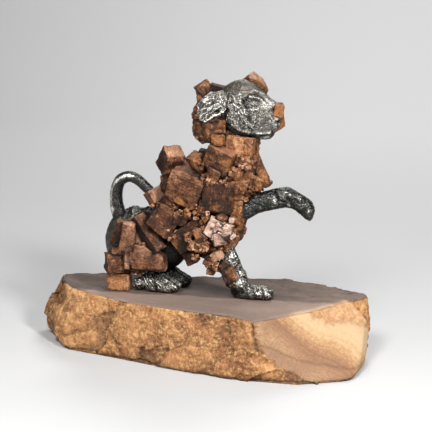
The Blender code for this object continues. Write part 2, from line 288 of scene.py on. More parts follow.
def profileTube(stops, along, around):
    # an oval carried along two edge lines: each ring spans from the lower edge to the upper, as wide as its
    # stop says
    line = smoothPath(stops, along)
    upper, lower = line[:, [0, 4, 1]], line[:, [2, 4, 3]]
    half = (upper - lower) / 2
    centre, shrink, source, _ = roundEnds((upper + lower) / 2, np.linalg.norm(half, axis=1) * 0.7)
    over, wide = half[source] * shrink[:, None], line[source, 5] * shrink
    angle = np.linspace(0, 2 * math.pi, around, endpoint=False)
    c, s = (np.sign(f) * np.abs(f) ** 0.86 for f in (np.cos(angle), np.sin(angle)))
    ring = ((np.array((0, 1.0, 0)) * wide[:, None])[:, None] * c[None, :, None]
            + over[:, None] * s[None, :, None])
    return ringsToMesh(centre, ring, angle)


def ballReach(centre, rays, balls, blend):
    # how far each ray from the centre runs before it leaves the union of turned ellipsoids, softly joined
    far = []
    for place, half, roll in balls:
        turn = spin(roll, 0, 0)
        start = ((np.asarray(centre, float) - place) @ turn) / half
        way = (rays @ turn) / half
        a, b, c = (way ** 2).sum(1), way @ start, start @ start - 1
        inside = b * b - a * c
        far.append(np.where(inside > 0, (-b + np.sqrt(np.maximum(inside, 0))) / a, 0))
    far = np.stack(far)
    top = far.max(0)
    return top + blend * np.log(np.exp((far - top) / blend).sum(0)) - blend * 0.35


def ballBody(centre, balls, count, blend, rounds):
    # the far side of joined ellipsoids as one closed surface, evened out
    rays, quads = roundGrid(count)
    points = np.array(centre) + rays * ballReach(centre, rays, balls, blend)[:, None]
    points = relax(points, quads, rounds)
    return points, quads, surfaceNormals(points, quads)


def addPiece(name, shells, finish, node, inDog=True):
    # closed shells joined into one new mesh from whole arrays, all quads before the end caps; each mark is
    # one number per point that the finish reads; a shell of small cubes is shaded flat
    starts = np.cumsum([0] + [len(shell["points"]) for shell in shells])
    points = np.concatenate([shell["points"] for shell in shells])
    faces = [shell[kind] + start for kind in ("quads", "caps")
             for shell, start in zip(shells, starts) if kind in shell]
    sides = np.concatenate([np.full(len(f), f.shape[1]) for f in faces])
    smooth = np.ones(len(sides), bool)
    smooth[:sum(len(shell["quads"]) for shell in shells)] = np.concatenate(
        [np.full(len(shell["quads"]), "flat" not in shell) for shell in shells])
    mesh = bpy.data.meshes.new(name)
    mesh.vertices.add(len(points))
    mesh.loops.add(sides.sum())
    mesh.polygons.add(len(sides))
    placed = toScene(points) if inDog else points * 0.001
    mesh.vertices.foreach_set("co", placed.astype(np.float32).ravel())
    mesh.loops.foreach_set("vertex_index", np.concatenate([f.ravel() for f in faces]).astype(np.int32))
    mesh.polygons.foreach_set("loop_start", np.concatenate([[0], np.cumsum(sides)[:-1]]).astype(np.int32))
    mesh.polygons.foreach_set("use_smooth", smooth)
    for key in shells[0]["marks"]:
        values = np.concatenate([shell["marks"][key] for shell in shells])
        mesh.attributes.new(key, "FLOAT", "POINT").data.foreach_set("value", values.astype(np.float32))
    mesh.update(calc_edges=True)
    mesh.validate()
    mesh.materials.append(finish)
    piece = bpy.data.objects.new(name, mesh)
    bpy.context.collection.objects.link(piece)
    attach(piece, "root")
    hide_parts(node)
    return placed


# Camera, lamps and room, in metres; the floor is one sheet that bends up into a wall all round.
camera = dict(place=(0.3790, -0.9895, 0.3939), turn=(76, 0, 20), lens=97.08)
lamps = (
    dict(name="key", place=(0.80, -0.52, 0.80), size=0.22, power=14, aim=(0, -0.1, 0.05)),
    dict(name="over", place=(0.02, -0.70, 0.86), size=0.4, power=10.0, aim=(0.02, -0.55, 0.0)),
    dict(name="back", place=(-0.1, 1.35, 1.6), size=0.9, power=29, aim=(-0.15, 1.45, 0.0)),
    dict(name="fill", place=(-0.45, -1.1, 0.40), size=0.3, power=1.9, aim=(0, -0.1, 0.05)),
)
room = dict(inner=0.05, flat=1.45, bend=1.1, height=2.6, around=96, color=(0.53, 0.53, 0.53), rough=0.9,
            specular=0.15, glow=0.04)


def setStage():
    made = bpy.data.objects.new("view", bpy.data.cameras.new("view"))
    made.location = camera["place"]
    made.rotation_euler = [math.radians(a) for a in camera["turn"]]
    made.data.lens = camera["lens"]
    bpy.context.collection.objects.link(made)
    bpy.context.scene.camera = made
    for lamp in lamps:
        light = bpy.data.lights.new(lamp["name"], "AREA")
        light.shape, light.size, light.energy = "DISK", lamp["size"], lamp["power"]
        item = bpy.data.objects.new(lamp["name"], light)
        item.location = lamp["place"]
        # turned so that its own -z points at the aim
        way = np.array(lamp["aim"]) - lamp["place"]
        item.rotation_euler = (math.acos(-way[2] / np.linalg.norm(way)), 0,
                               math.atan2(way[1], way[0]) - math.pi / 2)
        bpy.context.collection.objects.link(item)
    world = bpy.data.worlds.new("room")
    world.use_nodes = True
    backdrop = world.node_tree.nodes["Background"].inputs
    backdrop[0].default_value, backdrop[1].default_value = (1, 1, 1, 1), room["glow"]
    bpy.context.scene.world = world
    bpy.context.scene.view_settings.view_transform = "Standard"
    # floor: a profile (flat, quarter circle, wall) turned about z
    bend = np.linspace(0, math.pi / 2, 24)
    out = np.concatenate([np.linspace(room["inner"], room["flat"], 10),
                          room["flat"] + room["bend"] * np.sin(bend[1:]), [room["flat"] + room["bend"]]])
    up = np.concatenate([np.zeros(10), room["bend"] * (1 - np.cos(bend[1:])), [room["height"]]])
    angle = np.linspace(0, 2 * math.pi, room["around"], endpoint=False)
    rings = np.stack([out[:, None] * np.cos(angle), out[:, None] * np.sin(angle), up[:, None] + 0 * angle], 2)
    index = np.arange(rings[..., 0].size).reshape(rings.shape[:2])
    after = np.roll(index, -1, 1)
    quads = np.stack([index[:-1], index[1:], after[1:], after[:-1]], -1).reshape(-1, 4)
    mesh = bpy.data.meshes.new("floor")
    mesh.from_pydata(rings.reshape(-1, 3).tolist(), [], quads.tolist() + [index[0].tolist()])
    mesh.shade_smooth()
    floor = bpy.data.objects.new("floor", mesh)
    paper = bpy.data.materials.new("paper")
    paper.use_nodes = True
    shader = paper.node_tree.nodes["Principled BSDF"].inputs
    shader["Base Color"].default_value = (*room["color"], 1)
    shader["Roughness"].default_value = room["rough"]
    shader["Specular IOR Level"].default_value = room["specular"]
    mesh.materials.append(paper)
    bpy.context.collection.objects.link(floor)
    print("camera, lamps and floor set")


setStage()


# Finishes: each reads noises by place and the marks that every mesh carries, one number per point.


def addNode(tree, kind, links=(), **settings):
    # links: (input, another node's socket or a plain value)
    made = tree.nodes.new(kind)
    for key, value in settings.items():
        setattr(made, key, value)
    for socket, value in links:
        if isinstance(value, bpy.types.NodeSocket):
            tree.links.new(value, made.inputs[socket])
        else:
            made.inputs[socket].default_value = value
    return made


def grain(tree, where, scale, detail=4, rough=0.55, stretch=0.0):
    # noise by place; scale counts its lumps in a metre
    return addNode(tree, "ShaderNodeTexNoise", [("Vector", where), ("Scale", scale), ("Detail", detail),
                                                ("Roughness", rough), ("Distortion", stretch)]).outputs["Fac"]


def lineGrain(tree, name, scale, detail):
    # noise along one mark: lines run where the mark stays the same
    return addNode(tree, "ShaderNodeTexNoise", [("W", mark(tree, name)), ("Scale", scale), ("Detail", detail),
                                                ("Roughness", 0.7)], noise_dimensions="1D").outputs["Fac"]


def ramp(tree, value, stops):
    # (place, colour or share) stops with even steps between
    made = addNode(tree, "ShaderNodeValToRGB", [(0, value)])
    bar = made.color_ramp.elements
    while len(bar) < len(stops):
        bar.new(0.5)
    for item, (place, color) in zip(bar, stops):
        item.position = place
        item.color = (*color, 1) if isinstance(color, tuple) else (color, color, color, 1)
    return made.outputs[0]


def mixed(tree, share, under, over):
    # over covers under by its share
    made = addNode(tree, "ShaderNodeMix", [(0, share)], data_type="RGBA")
    for socket, value in ((6, under), (7, over)):
        if isinstance(value, bpy.types.NodeSocket):
            tree.links.new(value, made.inputs[socket])
        else:
            made.inputs[socket].default_value = (*value, 1)
    return made.outputs[2]


def calculated(tree, operation, *values, clamp=False):
    links = list(enumerate(values))
    return addNode(tree, "ShaderNodeMath", links, operation=operation, use_clamp=clamp).outputs[0]


def times(tree, first, second, clamp=False):
    return calculated(tree, "MULTIPLY", first, second, clamp=clamp)


def weigh(tree, values, weights):
    # the level plus each named value times its weight
    total = weights["level"]
    for name, weight in weights.items():
        if name != "level":
            total = calculated(tree, "MULTIPLY_ADD", values[name], weight, total)
    return total


def mark(tree, name):
    return addNode(tree, "ShaderNodeAttribute", attribute_name=name).outputs["Fac"]


def newFinish(name, look, specular=0.5, metallic=0.0):
    # the material, its node tree and shader, the place on the object, and the look's noises by name
    finish = bpy.data.materials.new(name)
    finish.use_nodes = True
    tree = finish.node_tree
    shader = tree.nodes["Principled BSDF"]
    shader.inputs["Metallic"].default_value = metallic
    shader.inputs["Specular IOR Level"].default_value = specular
    where = addNode(tree, "ShaderNodeTexCoord").outputs["Object"]
    return finish, tree, shader, where, {
        key: grain(tree, where, *value) for key, value in look["grains"].items()}


def finished(tree, shader, look, color, shine, relief):
    # colour, roughness between the look's two limits as shine runs over its span, and fine bumps by relief
    tree.links.new(color, shader.inputs["Base Color"])
    if shine is None:
        shader.inputs["Roughness"].default_value = look["roughness"]
    else:
        gloss = addNode(tree, "ShaderNodeMapRange",
                        [("Value", shine), ("From Min", look["span"][0]), ("From Max", look["span"][1]),
                                                     ("To Min", look["roughness"][0]),
                         ("To Max", look["roughness"][1])])
        tree.links.new(gloss.outputs[0], shader.inputs["Roughness"])
    bump = addNode(tree, "ShaderNodeBump", [("Height", relief), ("Strength", look["bump"]),
                                            ("Distance", look["bumpReach"])])
    tree.links.new(bump.outputs[0], shader.inputs["Normal"])


limoniteLook = dict(
    grains=dict(broad=(70,), blotch=(210, 4, 0.6), fine=(600, 5, 0.7), speck=(1300, 3, 0.6)),
    tone=dict(level=-1.012, broad=0.6, fine=1.1, speck=0.5, blotch=0.75, light=0.36, streak=0.35),
    relief=dict(level=0.0, fine=1.0, speck=0.5, streak=0.4),
    brown=((0.16, (0.012, 0.0047, 0.0024)), (0.36, (0.051, 0.0182, 0.0076)), (0.52, (0.124, 0.0455, 0.0188)),
           (0.70, (0.275, 0.118, 0.054)), (0.96, (0.62, 0.38, 0.25))),
    # dust also serves as painted light on top faces, grime as painted shade in gaps, hollows and under faces
    rust=((0.3, (0.16, 0.052, 0.013)), (0.62, (0.46, 0.19, 0.055))), dustAndTopLight=(0.325, 0.172, 0.106),
    grimeAndShade=(0.012, 0.0065, 0.0042),
    span=(0.3, 0.7), roughness=(0.5, 0.85), bump=0.9, bumpReach=0.0007)


def makeLimonite():
    # brown by four noises, the light mark with its painted light and shade, and, where a face is lined, parallel
    # streaks along its run; rust, dust with painted light on top faces, and grime with painted shade are laid
    # over it by their marks, each broken up by noise
    look = limoniteLook
    finish, tree, shader, _, noise = newFinish("limonite", look, specular=0.25)
    noise["light"] = mark(tree, "light")
    noise["streak"] = times(tree, calculated(tree, "SUBTRACT", lineGrain(tree, "run", 0.75, 4), 0.5),
                            mark(tree, "lined"))
    tone = weigh(tree, noise, look["tone"])
    rust = times(tree, mark(tree, "rust"), ramp(tree, noise["broad"], ((0.3, 0.6), (0.6, 1.0))), clamp=True)
    dustAndTopLight = times(tree, mark(tree, "pale"), ramp(tree, tone, ((0.3, 0.3), (0.6, 1.0))), clamp=True)
    color = mixed(tree, rust, ramp(tree, tone, look["brown"]), ramp(tree, noise["fine"], look["rust"]))
    color = mixed(tree, dustAndTopLight, color, look["dustAndTopLight"])
    color = mixed(tree, mark(tree, "grimeAndShade"), color, look["grimeAndShade"])
    finished(tree, shader, look, color, noise["fine"], weigh(tree, noise, look["relief"]))
    return finish


paleLook = dict(
    grains=dict(fine=(620, 4, 0.7), broad=(160,)), tone=dict(level=-0.1, fine=1.0, light=0.4),
    tones=((0.22, (0.13, 0.062, 0.040)), (0.42, (0.36, 0.20, 0.143)), (0.60, (0.62, 0.415, 0.325)),
           (0.85, (0.86, 0.68, 0.58))),
    rust=(0.38, 0.16, 0.07), span=(0.35, 0.65), roughness=(0.22, 0.6), bump=0.6, bumpReach=0.0005)


def makePaleCrystal():
    # pinkish white by noise and the light mark (each plate's own lightness, with painted light and shade), rusty
    # in the gaps, with grime and painted shade over it
    look = paleLook
    finish, tree, shader, _, noise = newFinish("paleCrystal", look)
    noise["light"] = mark(tree, "light")
    rust = times(tree, mark(tree, "rust"), ramp(tree, noise["broad"], ((0.4, 0.2), (0.6, 1.0))))
    color = mixed(tree, rust, ramp(tree, weigh(tree, noise, look["tone"]), look["tones"]), look["rust"])
    color = mixed(tree, mark(tree, "grimeAndShade"), color, limoniteLook["grimeAndShade"])
    finished(tree, shader, look, color, noise["fine"], noise["fine"])
    return finish


metalLook = dict(
    grains=dict(fine=(900, 4, 0.65), broad=(130,), speck=(1900, 2, 0.6)),
    height=dict(level=-0.7, height=1.0, fine=1.1, broad=0.3), dull=dict(level=0.0, fine=0.7, broad=0.3),
    relief=dict(level=0.0, fine=1.0, speck=0.4), shine=dict(level=0.0, fine=1.0, olive=0.3),
    tones=((0.05, (0.008, 0.008, 0.007)), (0.3, (0.075, 0.070, 0.062)), (0.62, (0.185, 0.174, 0.154)),
           (0.9, (0.86, 0.83, 0.76))),
    dark=(0.022, 0.0235, 0.0215), olive=(0.128, 0.112, 0.089),
    metallic=0.9, span=(0.3, 0.75), roughness=(0.2, 0.42), bump=0.8, bumpReach=0.0005)


def makeMetal(name):
    # silver on the crests and black in the hollows, by the relief's own height, which also holds drawn
    # brightness as painted highlights; patina, with painted shade below the lip and at the feet, darkens the lot
    # and olive dulls it
    look = metalLook
    finish, tree, shader, _, noise = newFinish(name, look, metallic=look["metallic"])
    noise["height"], noise["olive"] = mark(tree, "height"), mark(tree, "olive")
    height = weigh(tree, noise, look["height"])
    olive = times(tree, noise["olive"], ramp(tree, height, ((0.2, 1.0), (0.9, 0.7))))
    patinaAndShade = times(tree, mark(tree, "patinaAndShade"), ramp(tree, height, ((0.5, 1.0), (0.95, 0.45))))
    olives = [(place, tuple(share * c for c in look["olive"]))
              for place, share in ((0.35, 0.55), (0.65, 1.35))]
    dull = ramp(tree, weigh(tree, noise, look["dull"]), olives)
    color = mixed(tree, olive, ramp(tree, height, look["tones"]), dull)
    color = mixed(tree, patinaAndShade, color, look["dark"])
    finished(tree, shader, look, color, weigh(tree, noise, look["shine"]), weigh(tree, noise, look["relief"]))
    return finish


stoneLook = dict(
    grains=dict(broad=(26, 5), fine=(340, 5, 0.7), speck=(1000, 3, 0.6), patches=(48,),
                veins=(95, 6, 0.6, 0.3)),
    sideTone=dict(level=-0.665, broad=0.5, streak=0.55, fine=0.8, speck=0.45, light=0.25),
    topTone=dict(level=-0.21, layer=0.7, light=0.25, fine=0.6), dots=dict(level=0.0, fine=0.5, speck=0.5),
    facetBand=dict(level=-0.24, band=1.0, streak=0.10, lines=0.22, fine=0.16),
    patchTone=dict(level=0.0, fine=0.6, broad=0.4), relief=dict(level=0.0, fine=1.0, speck=0.5),
    side=((0.22, (0.10, 0.045, 0.020)), (0.38, (0.23, 0.098, 0.041)), (0.52, (0.39, 0.182, 0.073)),
          (0.68, (0.54, 0.28, 0.118)), (0.9, (0.74, 0.46, 0.22))),
    red=(0.36, 0.135, 0.062), vein=(0.74, 0.48, 0.20),
    top=((0.25, (0.078, 0.058, 0.048)), (0.5, (0.126, 0.093, 0.075)), (0.75, (0.205, 0.150, 0.122))),
    topEdge=(0.36, 0.255, 0.205),
    # by height over the cream layer's lower edge, 0 is 30 mm below it and 1 is 30 mm above
    facet=((0.0, (0.37, 0.22, 0.125)), (0.12, (0.44, 0.27, 0.15)), (0.24, (0.37, 0.21, 0.115)),
           (0.32, (0.315, 0.17, 0.095)), (0.39, (0.35, 0.188, 0.096)), (0.44, (0.44, 0.25, 0.120)),
           (0.49, (0.51, 0.30, 0.145)), (0.56, (0.57, 0.375, 0.20)), (0.72, (0.60, 0.41, 0.235)),
           (1.0, (0.52, 0.33, 0.195))),
    # grime also serves as painted shade at the foot, in recesses and in the cleft
    freckle=(0.24, 0.122, 0.07), tan=(0.52, 0.33, 0.185), grimeAndShade=(0.05, 0.032, 0.022),
    patch=((0.3, (0.30, 0.145, 0.060)), (0.47, (0.48, 0.25, 0.108)), (0.66, (0.66, 0.43, 0.25))),
    crust=(0.19, 0.11, 0.072),
    roughness=0.85, bump=0.8, bumpReach=0.0012)


def makeStone():
    # ochre broken sides with pits, veins and red patches, grey-mauve top, and a banded smooth fracture;
    # marks say where each is, and the light and grime marks also carry painted light and shade
    look = stoneLook
    finish, tree, shader, where, noise = newFinish("sandstone", look, specular=0.3)
    turned = addNode(tree, "ShaderNodeMapping",
                     [("Vector", where), ("Rotation", (0, math.radians(35), 0)), ("Scale", (1, 1, 2.6))])
    layered = addNode(tree, "ShaderNodeMapping", [("Vector", where), ("Scale", (0.5, 1.6, 6))])
    noise["streak"] = grain(tree, turned.outputs[0], 60, 6, 0.6, 0.4)
    noise["layer"] = grain(tree, layered.outputs[0], 45, 6, 0.6)
    noise["light"], noise["band"] = mark(tree, "light"), mark(tree, "band")
    noise["lines"] = lineGrain(tree, "band", 24.0, 5)
    side = ramp(tree, weigh(tree, noise, look["sideTone"]), look["side"])
    side = mixed(tree, ramp(tree, noise["patches"], ((0.55, 0.0), (0.7, 0.45))), side, look["red"])
    vein = times(tree, ramp(tree, noise["veins"], ((0.465, 0.0), (0.5, 0.7), (0.535, 0.0))),
                 ramp(tree, noise["fine"], ((0.4, 0.2), (0.6, 1.0))))
    side = mixed(tree, vein, side, look["vein"])
    top = mixed(tree, mark(tree, "worn"), ramp(tree, weigh(tree, noise, look["topTone"]), look["top"]),
                look["topEdge"])
    color = mixed(tree, mark(tree, "top"), side, top)
    # the fracture: its bands, a tan border, freckles and thin lines low down, and a crust
    band = weigh(tree, noise, look["facetBand"])
    tan = times(tree, mark(tree, "tan"), ramp(tree, noise["streak"], ((0.35, 0.4), (0.6, 1.0))))
    face = mixed(tree, tan, ramp(tree, band, look["facet"]), look["tan"])
    dots = ramp(tree, weigh(tree, noise, look["dots"]), ((0.44, 0.65), (0.56, 0.0)))
    dots = times(tree, dots, ramp(tree, band, ((0.40, 1.0), (0.62, 0.2))))
    thin = times(tree, ramp(tree, noise["lines"], ((0.36, 0.75), (0.5, 0.0))),
                 ramp(tree, band, ((0.34, 1.0), (0.52, 0.04))))
    face = mixed(tree, calculated(tree, "MAXIMUM", dots, thin), face, look["freckle"])
    crust = times(tree, mark(tree, "crust"), ramp(tree, noise["fine"], ((0.35, 0.5), (0.6, 1.0))))
    face = mixed(tree, crust, face, look["crust"])
    color = mixed(tree, mark(tree, "facet"), color, face)
    color = mixed(tree, mark(tree, "patch"), color,
                  ramp(tree, weigh(tree, noise, look["patchTone"]), look["patch"]))
    color = mixed(tree, mark(tree, "grimeAndShade"), color, look["grimeAndShade"])
    finished(tree, shader, look, color, None, weigh(tree, noise, look["relief"]))
    return finish


limonite = makeLimonite()
paleCrystal = makePaleCrystal()
silver = makeMetal("silveredMetal")
darkMetal = makeMetal("darkMetal")
stone = makeStone()
print("finishes made")


# name: blocks of ((middle), (length, width, height), (roll, tilt, yaw)) in mm and degrees, then the look:
# rust, light and pale are added to the noise; steps is the depth of the growth steps; chips the broken
# corners
crystals = {
    "shoulder_crystal": (((-22, -15, 104), (31, 24, 26), (-20, 15, -5)),
                         dict(rust=-0.1, cuts=(((-4, -14, 115), (1, 0.7, 0.8)),))),
    "peak_crystal": (((-39, -7, 127), (17, 16, 22), (-25, 25, 42)), dict(light=0.1)),
    "withers_crystal": (((9, -13, 131), (24, 20, 22), (-20, 10, -10)), dict(steps=0.3, rust=0.15)),
    "chest_crystal": (((8, -16, 96.5), (27, 21, 27), (-5, 0, 0)),
                      dict(light=-0.45, rust=0.1, lines=0.18, rough=0.3)),
    "saddle_crystal": (((-43, -19, 73.5), (24, 18, 24), (-39, -8, 8)),
                       dict(light=-0.1, rust=-0.2, cuts=(((-35, -19, 86), (0.35, 0, 1)),))),
    "tail_end_crystal": (((-55, -5, 92), (14, 13, 13), (30, -5, 40)), dict(light=0.75, rust=0.15, pale=0.35)),
    "small_back_crystal": (((-13, -11, 128), (12, 14, 13), (30, 20, 35)), dict(light=0.25, rust=0.1)),
    "back_wedge_crystal": (((-8, -7, 131), (9, 10, 14), (-10, 0, 0)), dict(light=-0.6)),
    "neck_step_crystal": (((5, -20, 118), (12, 10, 10), (-20, 10, -10)), dict(light=0.15)),
    "neck_lower_crystal": (((-3, -15, 111), (14, 12, 9), (-25, 10, 0)), dict(light=-0.1, rust=0.1)),
    "flank_crystal": (((-20, -12, 59), (33, 24, 21), (35, 5, 5)), dict(light=-0.6, rust=0.1, steps=0.5)),
    "belly_crystal": (((-19, -11, 36), (11, 13, 13), (25, 0, 0)), dict(light=-0.1)),
    "ledge_crystal": (((-39, -14, 87), (15, 14, 13), (-40, 0, 10)), dict(light=-0.1)),
    "corner_crystal": (((-28, -21, 75), (12, 10, 10), (-25, 0, 20)), dict(light=0.05)),
    "back_hollow_crystal": (((-44, -2, 105), (8, 12, 14), (10, 0, 0)), dict(light=-0.6)),
    "tan_crystal": (((12, -23, 79), (9, 9, 8), (35, 0, 10)), dict(light=0.2)),
    "bright_crystal": (((20, -20, 75), (5, 5, 5), (-10, 0, 20)), dict(light=0.8)),
    "lower_pink_crystal": (((8, -22, 42), (11, 10, 8), (30, 0, -10)), dict(light=0.8, pale=0.5)),
    "orange_crystal": (((1, -18, 25), (8, 8, 6), (-5, 0, 0)), dict(rust=0.6)),
    "leg_side_crystal": (((18.4, -19, 24.4), (13, 9, 16), (24, 0, 14)),
                         ((13.6, -19, 29), (9, 8, 12), (28, 0, 30)),
                         ((20, -19, 15.6), (8, 8, 8), (10, 10, 40)),
                         dict(light=-0.25, rough=0.7, chips=9, tiles=0.7)),
    "haunch_bar_crystal": (((-58.5, -20, 59), (12, 12, 38), (36, -10, 50)), dict(light=-0.45)),
    "haunch_plate_crystal": (((-77.5, -23, 57), (14, 11, 26), (-5, 5, 0)),
                             ((-68, -16, 58), (12, 10, 30), (20, 0, 10)),
                             dict(light=0.5, pale=0.45, cuts=(((-85, -23, 46), (-1, 0, 0.2)),))),
    "haunch_low_crystal": (((-59, -17, 35.5), (31, 18, 26), (-3, 8, -4)),
                           ((-74, -14, 35), (18, 14, 29), (2, 0, 10)),
                           dict(light=0.4, pale=0.3, cuts=(((-52, -24, 43), (0.55, 0, 1)),
                                                           ((-62, -26, 26), (0, -0.5, -1))))),
    "hock_column_crystal": (((-91, -12, 27), (19, 16, 18), (3, -5, 25)), dict(rust=0.1)),
    "hock_block_crystal": (((-90, -9, 8.6), (21, 15, 16), (0, 0, 5)), dict(rust=0.85, light=0.7)),
    "hock_small_crystal": (((-90, -15, 40), (9, 9, 7), (10, 0, 10)), dict(light=0.3)),
    "hock_knob_crystal": (((-101, -7, 21), (6, 8, 7), (30, 0, 0)), dict()),
    "rump_sliver_crystal": (((-89, -14, 57), (8, 10, 24), (-20, 0, 10)), dict(light=-0.1)),
    "brow_crystal": (((36, 10, 195), (21, 17, 20), (-25, 10, 30)),
                     dict(light=0.2, rust=0.2, chips=1,
                          cuts=(((27, 4, 202.5), (-0.60, 0, 0.80)), ((43, 4, 200.6), (0.716, 0, 0.698))))),
    "nose_crystal": (((58.5, 7, 167), (10.5, 17, 25), (8, 0, 10)),
                     ((59.8, -0.2, 175.4), (9.0, 17.3, 11.0), (-10, 0, 12)),
                     dict(rust=1.1, light=0.25, chips=2, cuts=(((66.6, 2, 160.5), (0.55, 0, -0.84)),))),
    "crown_crystal": (((-8.8, 2, 193.4), (13, 12, 10.5), (34, 10, 20)),
                      ((-11, 2, 186.5), (9, 11, 13), (8, 0, 10)),
                      dict(rust=0.1, light=0.1, chips=8, rough=0.4)),
    "crown_ridge_crystal": (((4, 5, 192.6), (15, 11, 7), (-14, 0, 10)), dict(light=-1.3)),
    "nape_crystal": (((-7, -4, 163.8), (19, 17, 37), (2, 0, 0)),
                     dict(light=-0.1, rust=0.35, chips=14, chipDepth=5, nibble=2.2, tiles=0.9, rough=0.9,
                          edge=1.5, cuts=(((-15, -4, 150), (-0.7, 0, -0.7)), ((-14, -4, 181), (-0.8, 0, 0.5))))),
    "nape_lower_crystal": (((3.2, -8, 157.4), (20, 16, 21), (5, 0, 6)),
                           dict(light=0.0, rust=0.45, chips=10, chipDepth=4, nibble=2.0, tiles=0.8, rough=0.9,
                                edge=1.5)),
    "nape_orange_crystal": (((7.3, -16.5, 149.4), (12, 8, 9.5), (0, 10, 0)),
                            dict(rust=0.7, light=0.3, chips=8, chipDepth=2.5, rough=0.6)),
    "left_cheek_crystal": (((26, 14, 174), (30, 16, 26), (-5, 0, 0)), dict(rust=0.1)),
    "left_jaw_crystal": (((46, 11, 156), (16, 13, 12), (10, 0, 5)), dict(rust=0.2)),
    "left_shoulder_crystal": (((-16, 17, 101), (28, 22, 26), (12, -5, 10)),
                              ((-28, 13, 113), (16, 16, 16), (-25, 0, 20)), dict()),
    "left_back_crystal": (((-42, 12, 100), (20, 20, 22), (-15, -5, 15)), dict()),
    "left_withers_crystal": (((6, 12, 127), (22, 18, 22), (15, 0, -10)),
                             ((-9, 10, 121), (15, 14, 14), (-30, 0, 10)),
                             dict(light=0.1)),
    "left_chest_crystal": (((14, 17, 99), (24, 20, 24), (-12, 0, 5)),
                           ((26, 14, 112), (16, 14, 16), (25, 0, 15)),
                           dict()),
    "left_flank_crystal": (((-24, 17, 65), (30, 22, 27), (24, 5, 10)),
                           ((-6, 19, 73), (17, 15, 17), (-10, 0, 25)),
                           dict(light=-0.1)),
    "left_saddle_crystal": (((-49, 16, 73), (24, 18, 24), (-10, 0, -15)), dict(light=0.1)),
    "left_haunch_crystal": (((-77, 18, 54), (23, 14, 28), (12, 0, 0)),
                            ((-90, 13, 38), (15, 13, 17), (-15, 0, 10)),
                            dict(light=0.1)),
    "left_thigh_crystal": (((-56, 19, 40), (24, 15, 24), (-25, 0, 10)),
                           ((-66, 17, 24), (16, 12, 15), (10, 0, 15)),
                           dict()),
    "left_brisket_crystal": (((15, 15, 71), (22, 16, 20), (14, 0, 0)),
                             ((12, 12, 54), (16, 13, 16), (-20, 0, 20)),
                             dict(rust=0.1)),
    "left_belly_crystal": (((-6, 14, 46), (17, 14, 16), (25, 0, 10)), dict()),
}
# the same blocks with small cubes strewn over them: count, least and greatest side, and jitter in degrees
clusters = {
    "pale_crystals": (((5, -24, 69), (15, 10, 18), (-25, 0, 10)), ((14, -25, 67), (15, 11, 12), (-20, 15, 0)),
                      ((10, -26, 59), (11, 9, 11), (10, 0, 25)), ((19, -24, 63), (9, 8, 8), (35, 0, 0)),
                      dict(light=0.1, count=64, side=(1.6, 5.2), sunk=0.38, jitter=18, tiles=1.1,
                           nibble=1.6)),
    "rough_crystals": (((-5, -23, 87), (9, 8, 13), (-10, 0, 30)), ((-3, -23, 79), (7, 7, 8), (20, 0, 10)),
                       dict(light=0.15, rust=0.3, count=46, side=(1.6, 4.5), jitter=12, tiles=0.8)),
    "pocket_crystals": (((-8, -26, 62), (10, 8, 12), (25, 0, 20)), ((-14, -26, 52), (9, 7, 8), (-15, 0, 30)),
                        ((-5, -25, 52), (9, 8, 10), (40, 0, 0)), ((-19, -25, 59), (7, 6, 8), (10, 0, 0)),
                        dict(light=0.2, rust=0.3, pale=0.15, count=70, side=(2.0, 5.5), jitter=14,
                             tiles=0.9)),
    "lower_crystals": (((0, -19, 34), (10, 9, 8), (-30, 0, 0)), ((7, -19, 31), (9, 9, 8), (-20, 0, 20)),
                       dict(light=0.0, rust=0.15, count=40, side=(1.8, 4.5), jitter=12, tiles=0.8)),
}
# what a block's look leaves out
blockShape = dict(grow=1.04, spacing=0.78, edge=0.35, wonk=0.75, rough=0.16, steps=0.38, stepWidth=2.6,
                  tiles=0.42, lines=0.10, chips=5, chipDepth=1.6, nibble=0.8, pit=0.7, tuck=0.5)
# rust patches: middle, reach in mm, strength
rustSpots = (((-27, -27, 91), 7, 0.9), ((-21, -28, 86), 5, 0.8), ((8, -22, 148), 7, 0.9),
             ((2, -20, 152), 8, 0.5), ((-4, -14, 156), 7, 0.35), ((24, -14, 140), 12, 0.45),
             ((15, -26, 128), 7, 0.4), ((3, -27, 128), 5, 0.3), ((26, -18, 115), 10, 0.35),
             ((24, -16, 88), 12, 0.4), ((24, -14, 72), 10, 0.35), ((-40, -20, 84), 5, 0.6),
             ((-12, -28, 62), 6, 0.5), ((-9, -28, 50), 5, 0.5), ((-16, -20, 130), 5, 0.5),
             ((-64, -26, 31), 5, 0.4), ((62, 1, 171), 10, 1.0), ((-90, -18, 10), 10, 0.35))
# always in shade: middle, reach
shadeSpots = (((10.5, -13, 169.5), 6), ((-6, -8, 122), 5), ((-36, -14, 97), 5), ((-30, -18, 62), 4),
              ((2, -22, 100), 3.5), ((-8, -27, 57), 3), ((-15, -27, 57), 2.6), ((-12, -26, 66), 2.6),
              ((16, -24, 56), 2.6), ((26, -14, 121), 3), ((-50, -16, 57), 4), ((-58, -19, 60), 5),
              ((-52.5, -19, 52), 5), ((-47, -20, 43.5), 5), ((-42, -27, 24), 5.5), ((-51, -27, 23), 5.5),
              ((-60, -26, 23), 5.5), ((-70, -22, 21.5), 4.5))
# lighter crystals within a cluster: middle, reach, strength
brightSpots = (((-13, -30, 52), 3.6, 1.9), ((-2, -30, 64), 3, 0.8), ((-6, -28, 46), 3, 0.7),
               ((12, -26, 45), 6, 0.9), ((29, -18, 128), 5, 0.2), ((-46, -26, 76), 7, 0.3),
               ((5, -24, 28), 4, 0.6))


def boxGap(points, block):
    # how far points are from a turned box; less than nothing inside
    middle, size, turn = block
    far = np.abs((points - np.array(middle)) @ spin(*turn)) - np.array(size, float) / 2
    return np.linalg.norm(np.maximum(far, 0), axis=1) + np.minimum(far.max(1), 0)


def nearTo(block, other, margin=0):
    # whether the balls round two blocks come within the margin of each other
    reach = (np.linalg.norm(other[1]) + np.linalg.norm(block[1])) / 2
    return np.linalg.norm(np.subtract(other[0], block[0])) < reach + margin


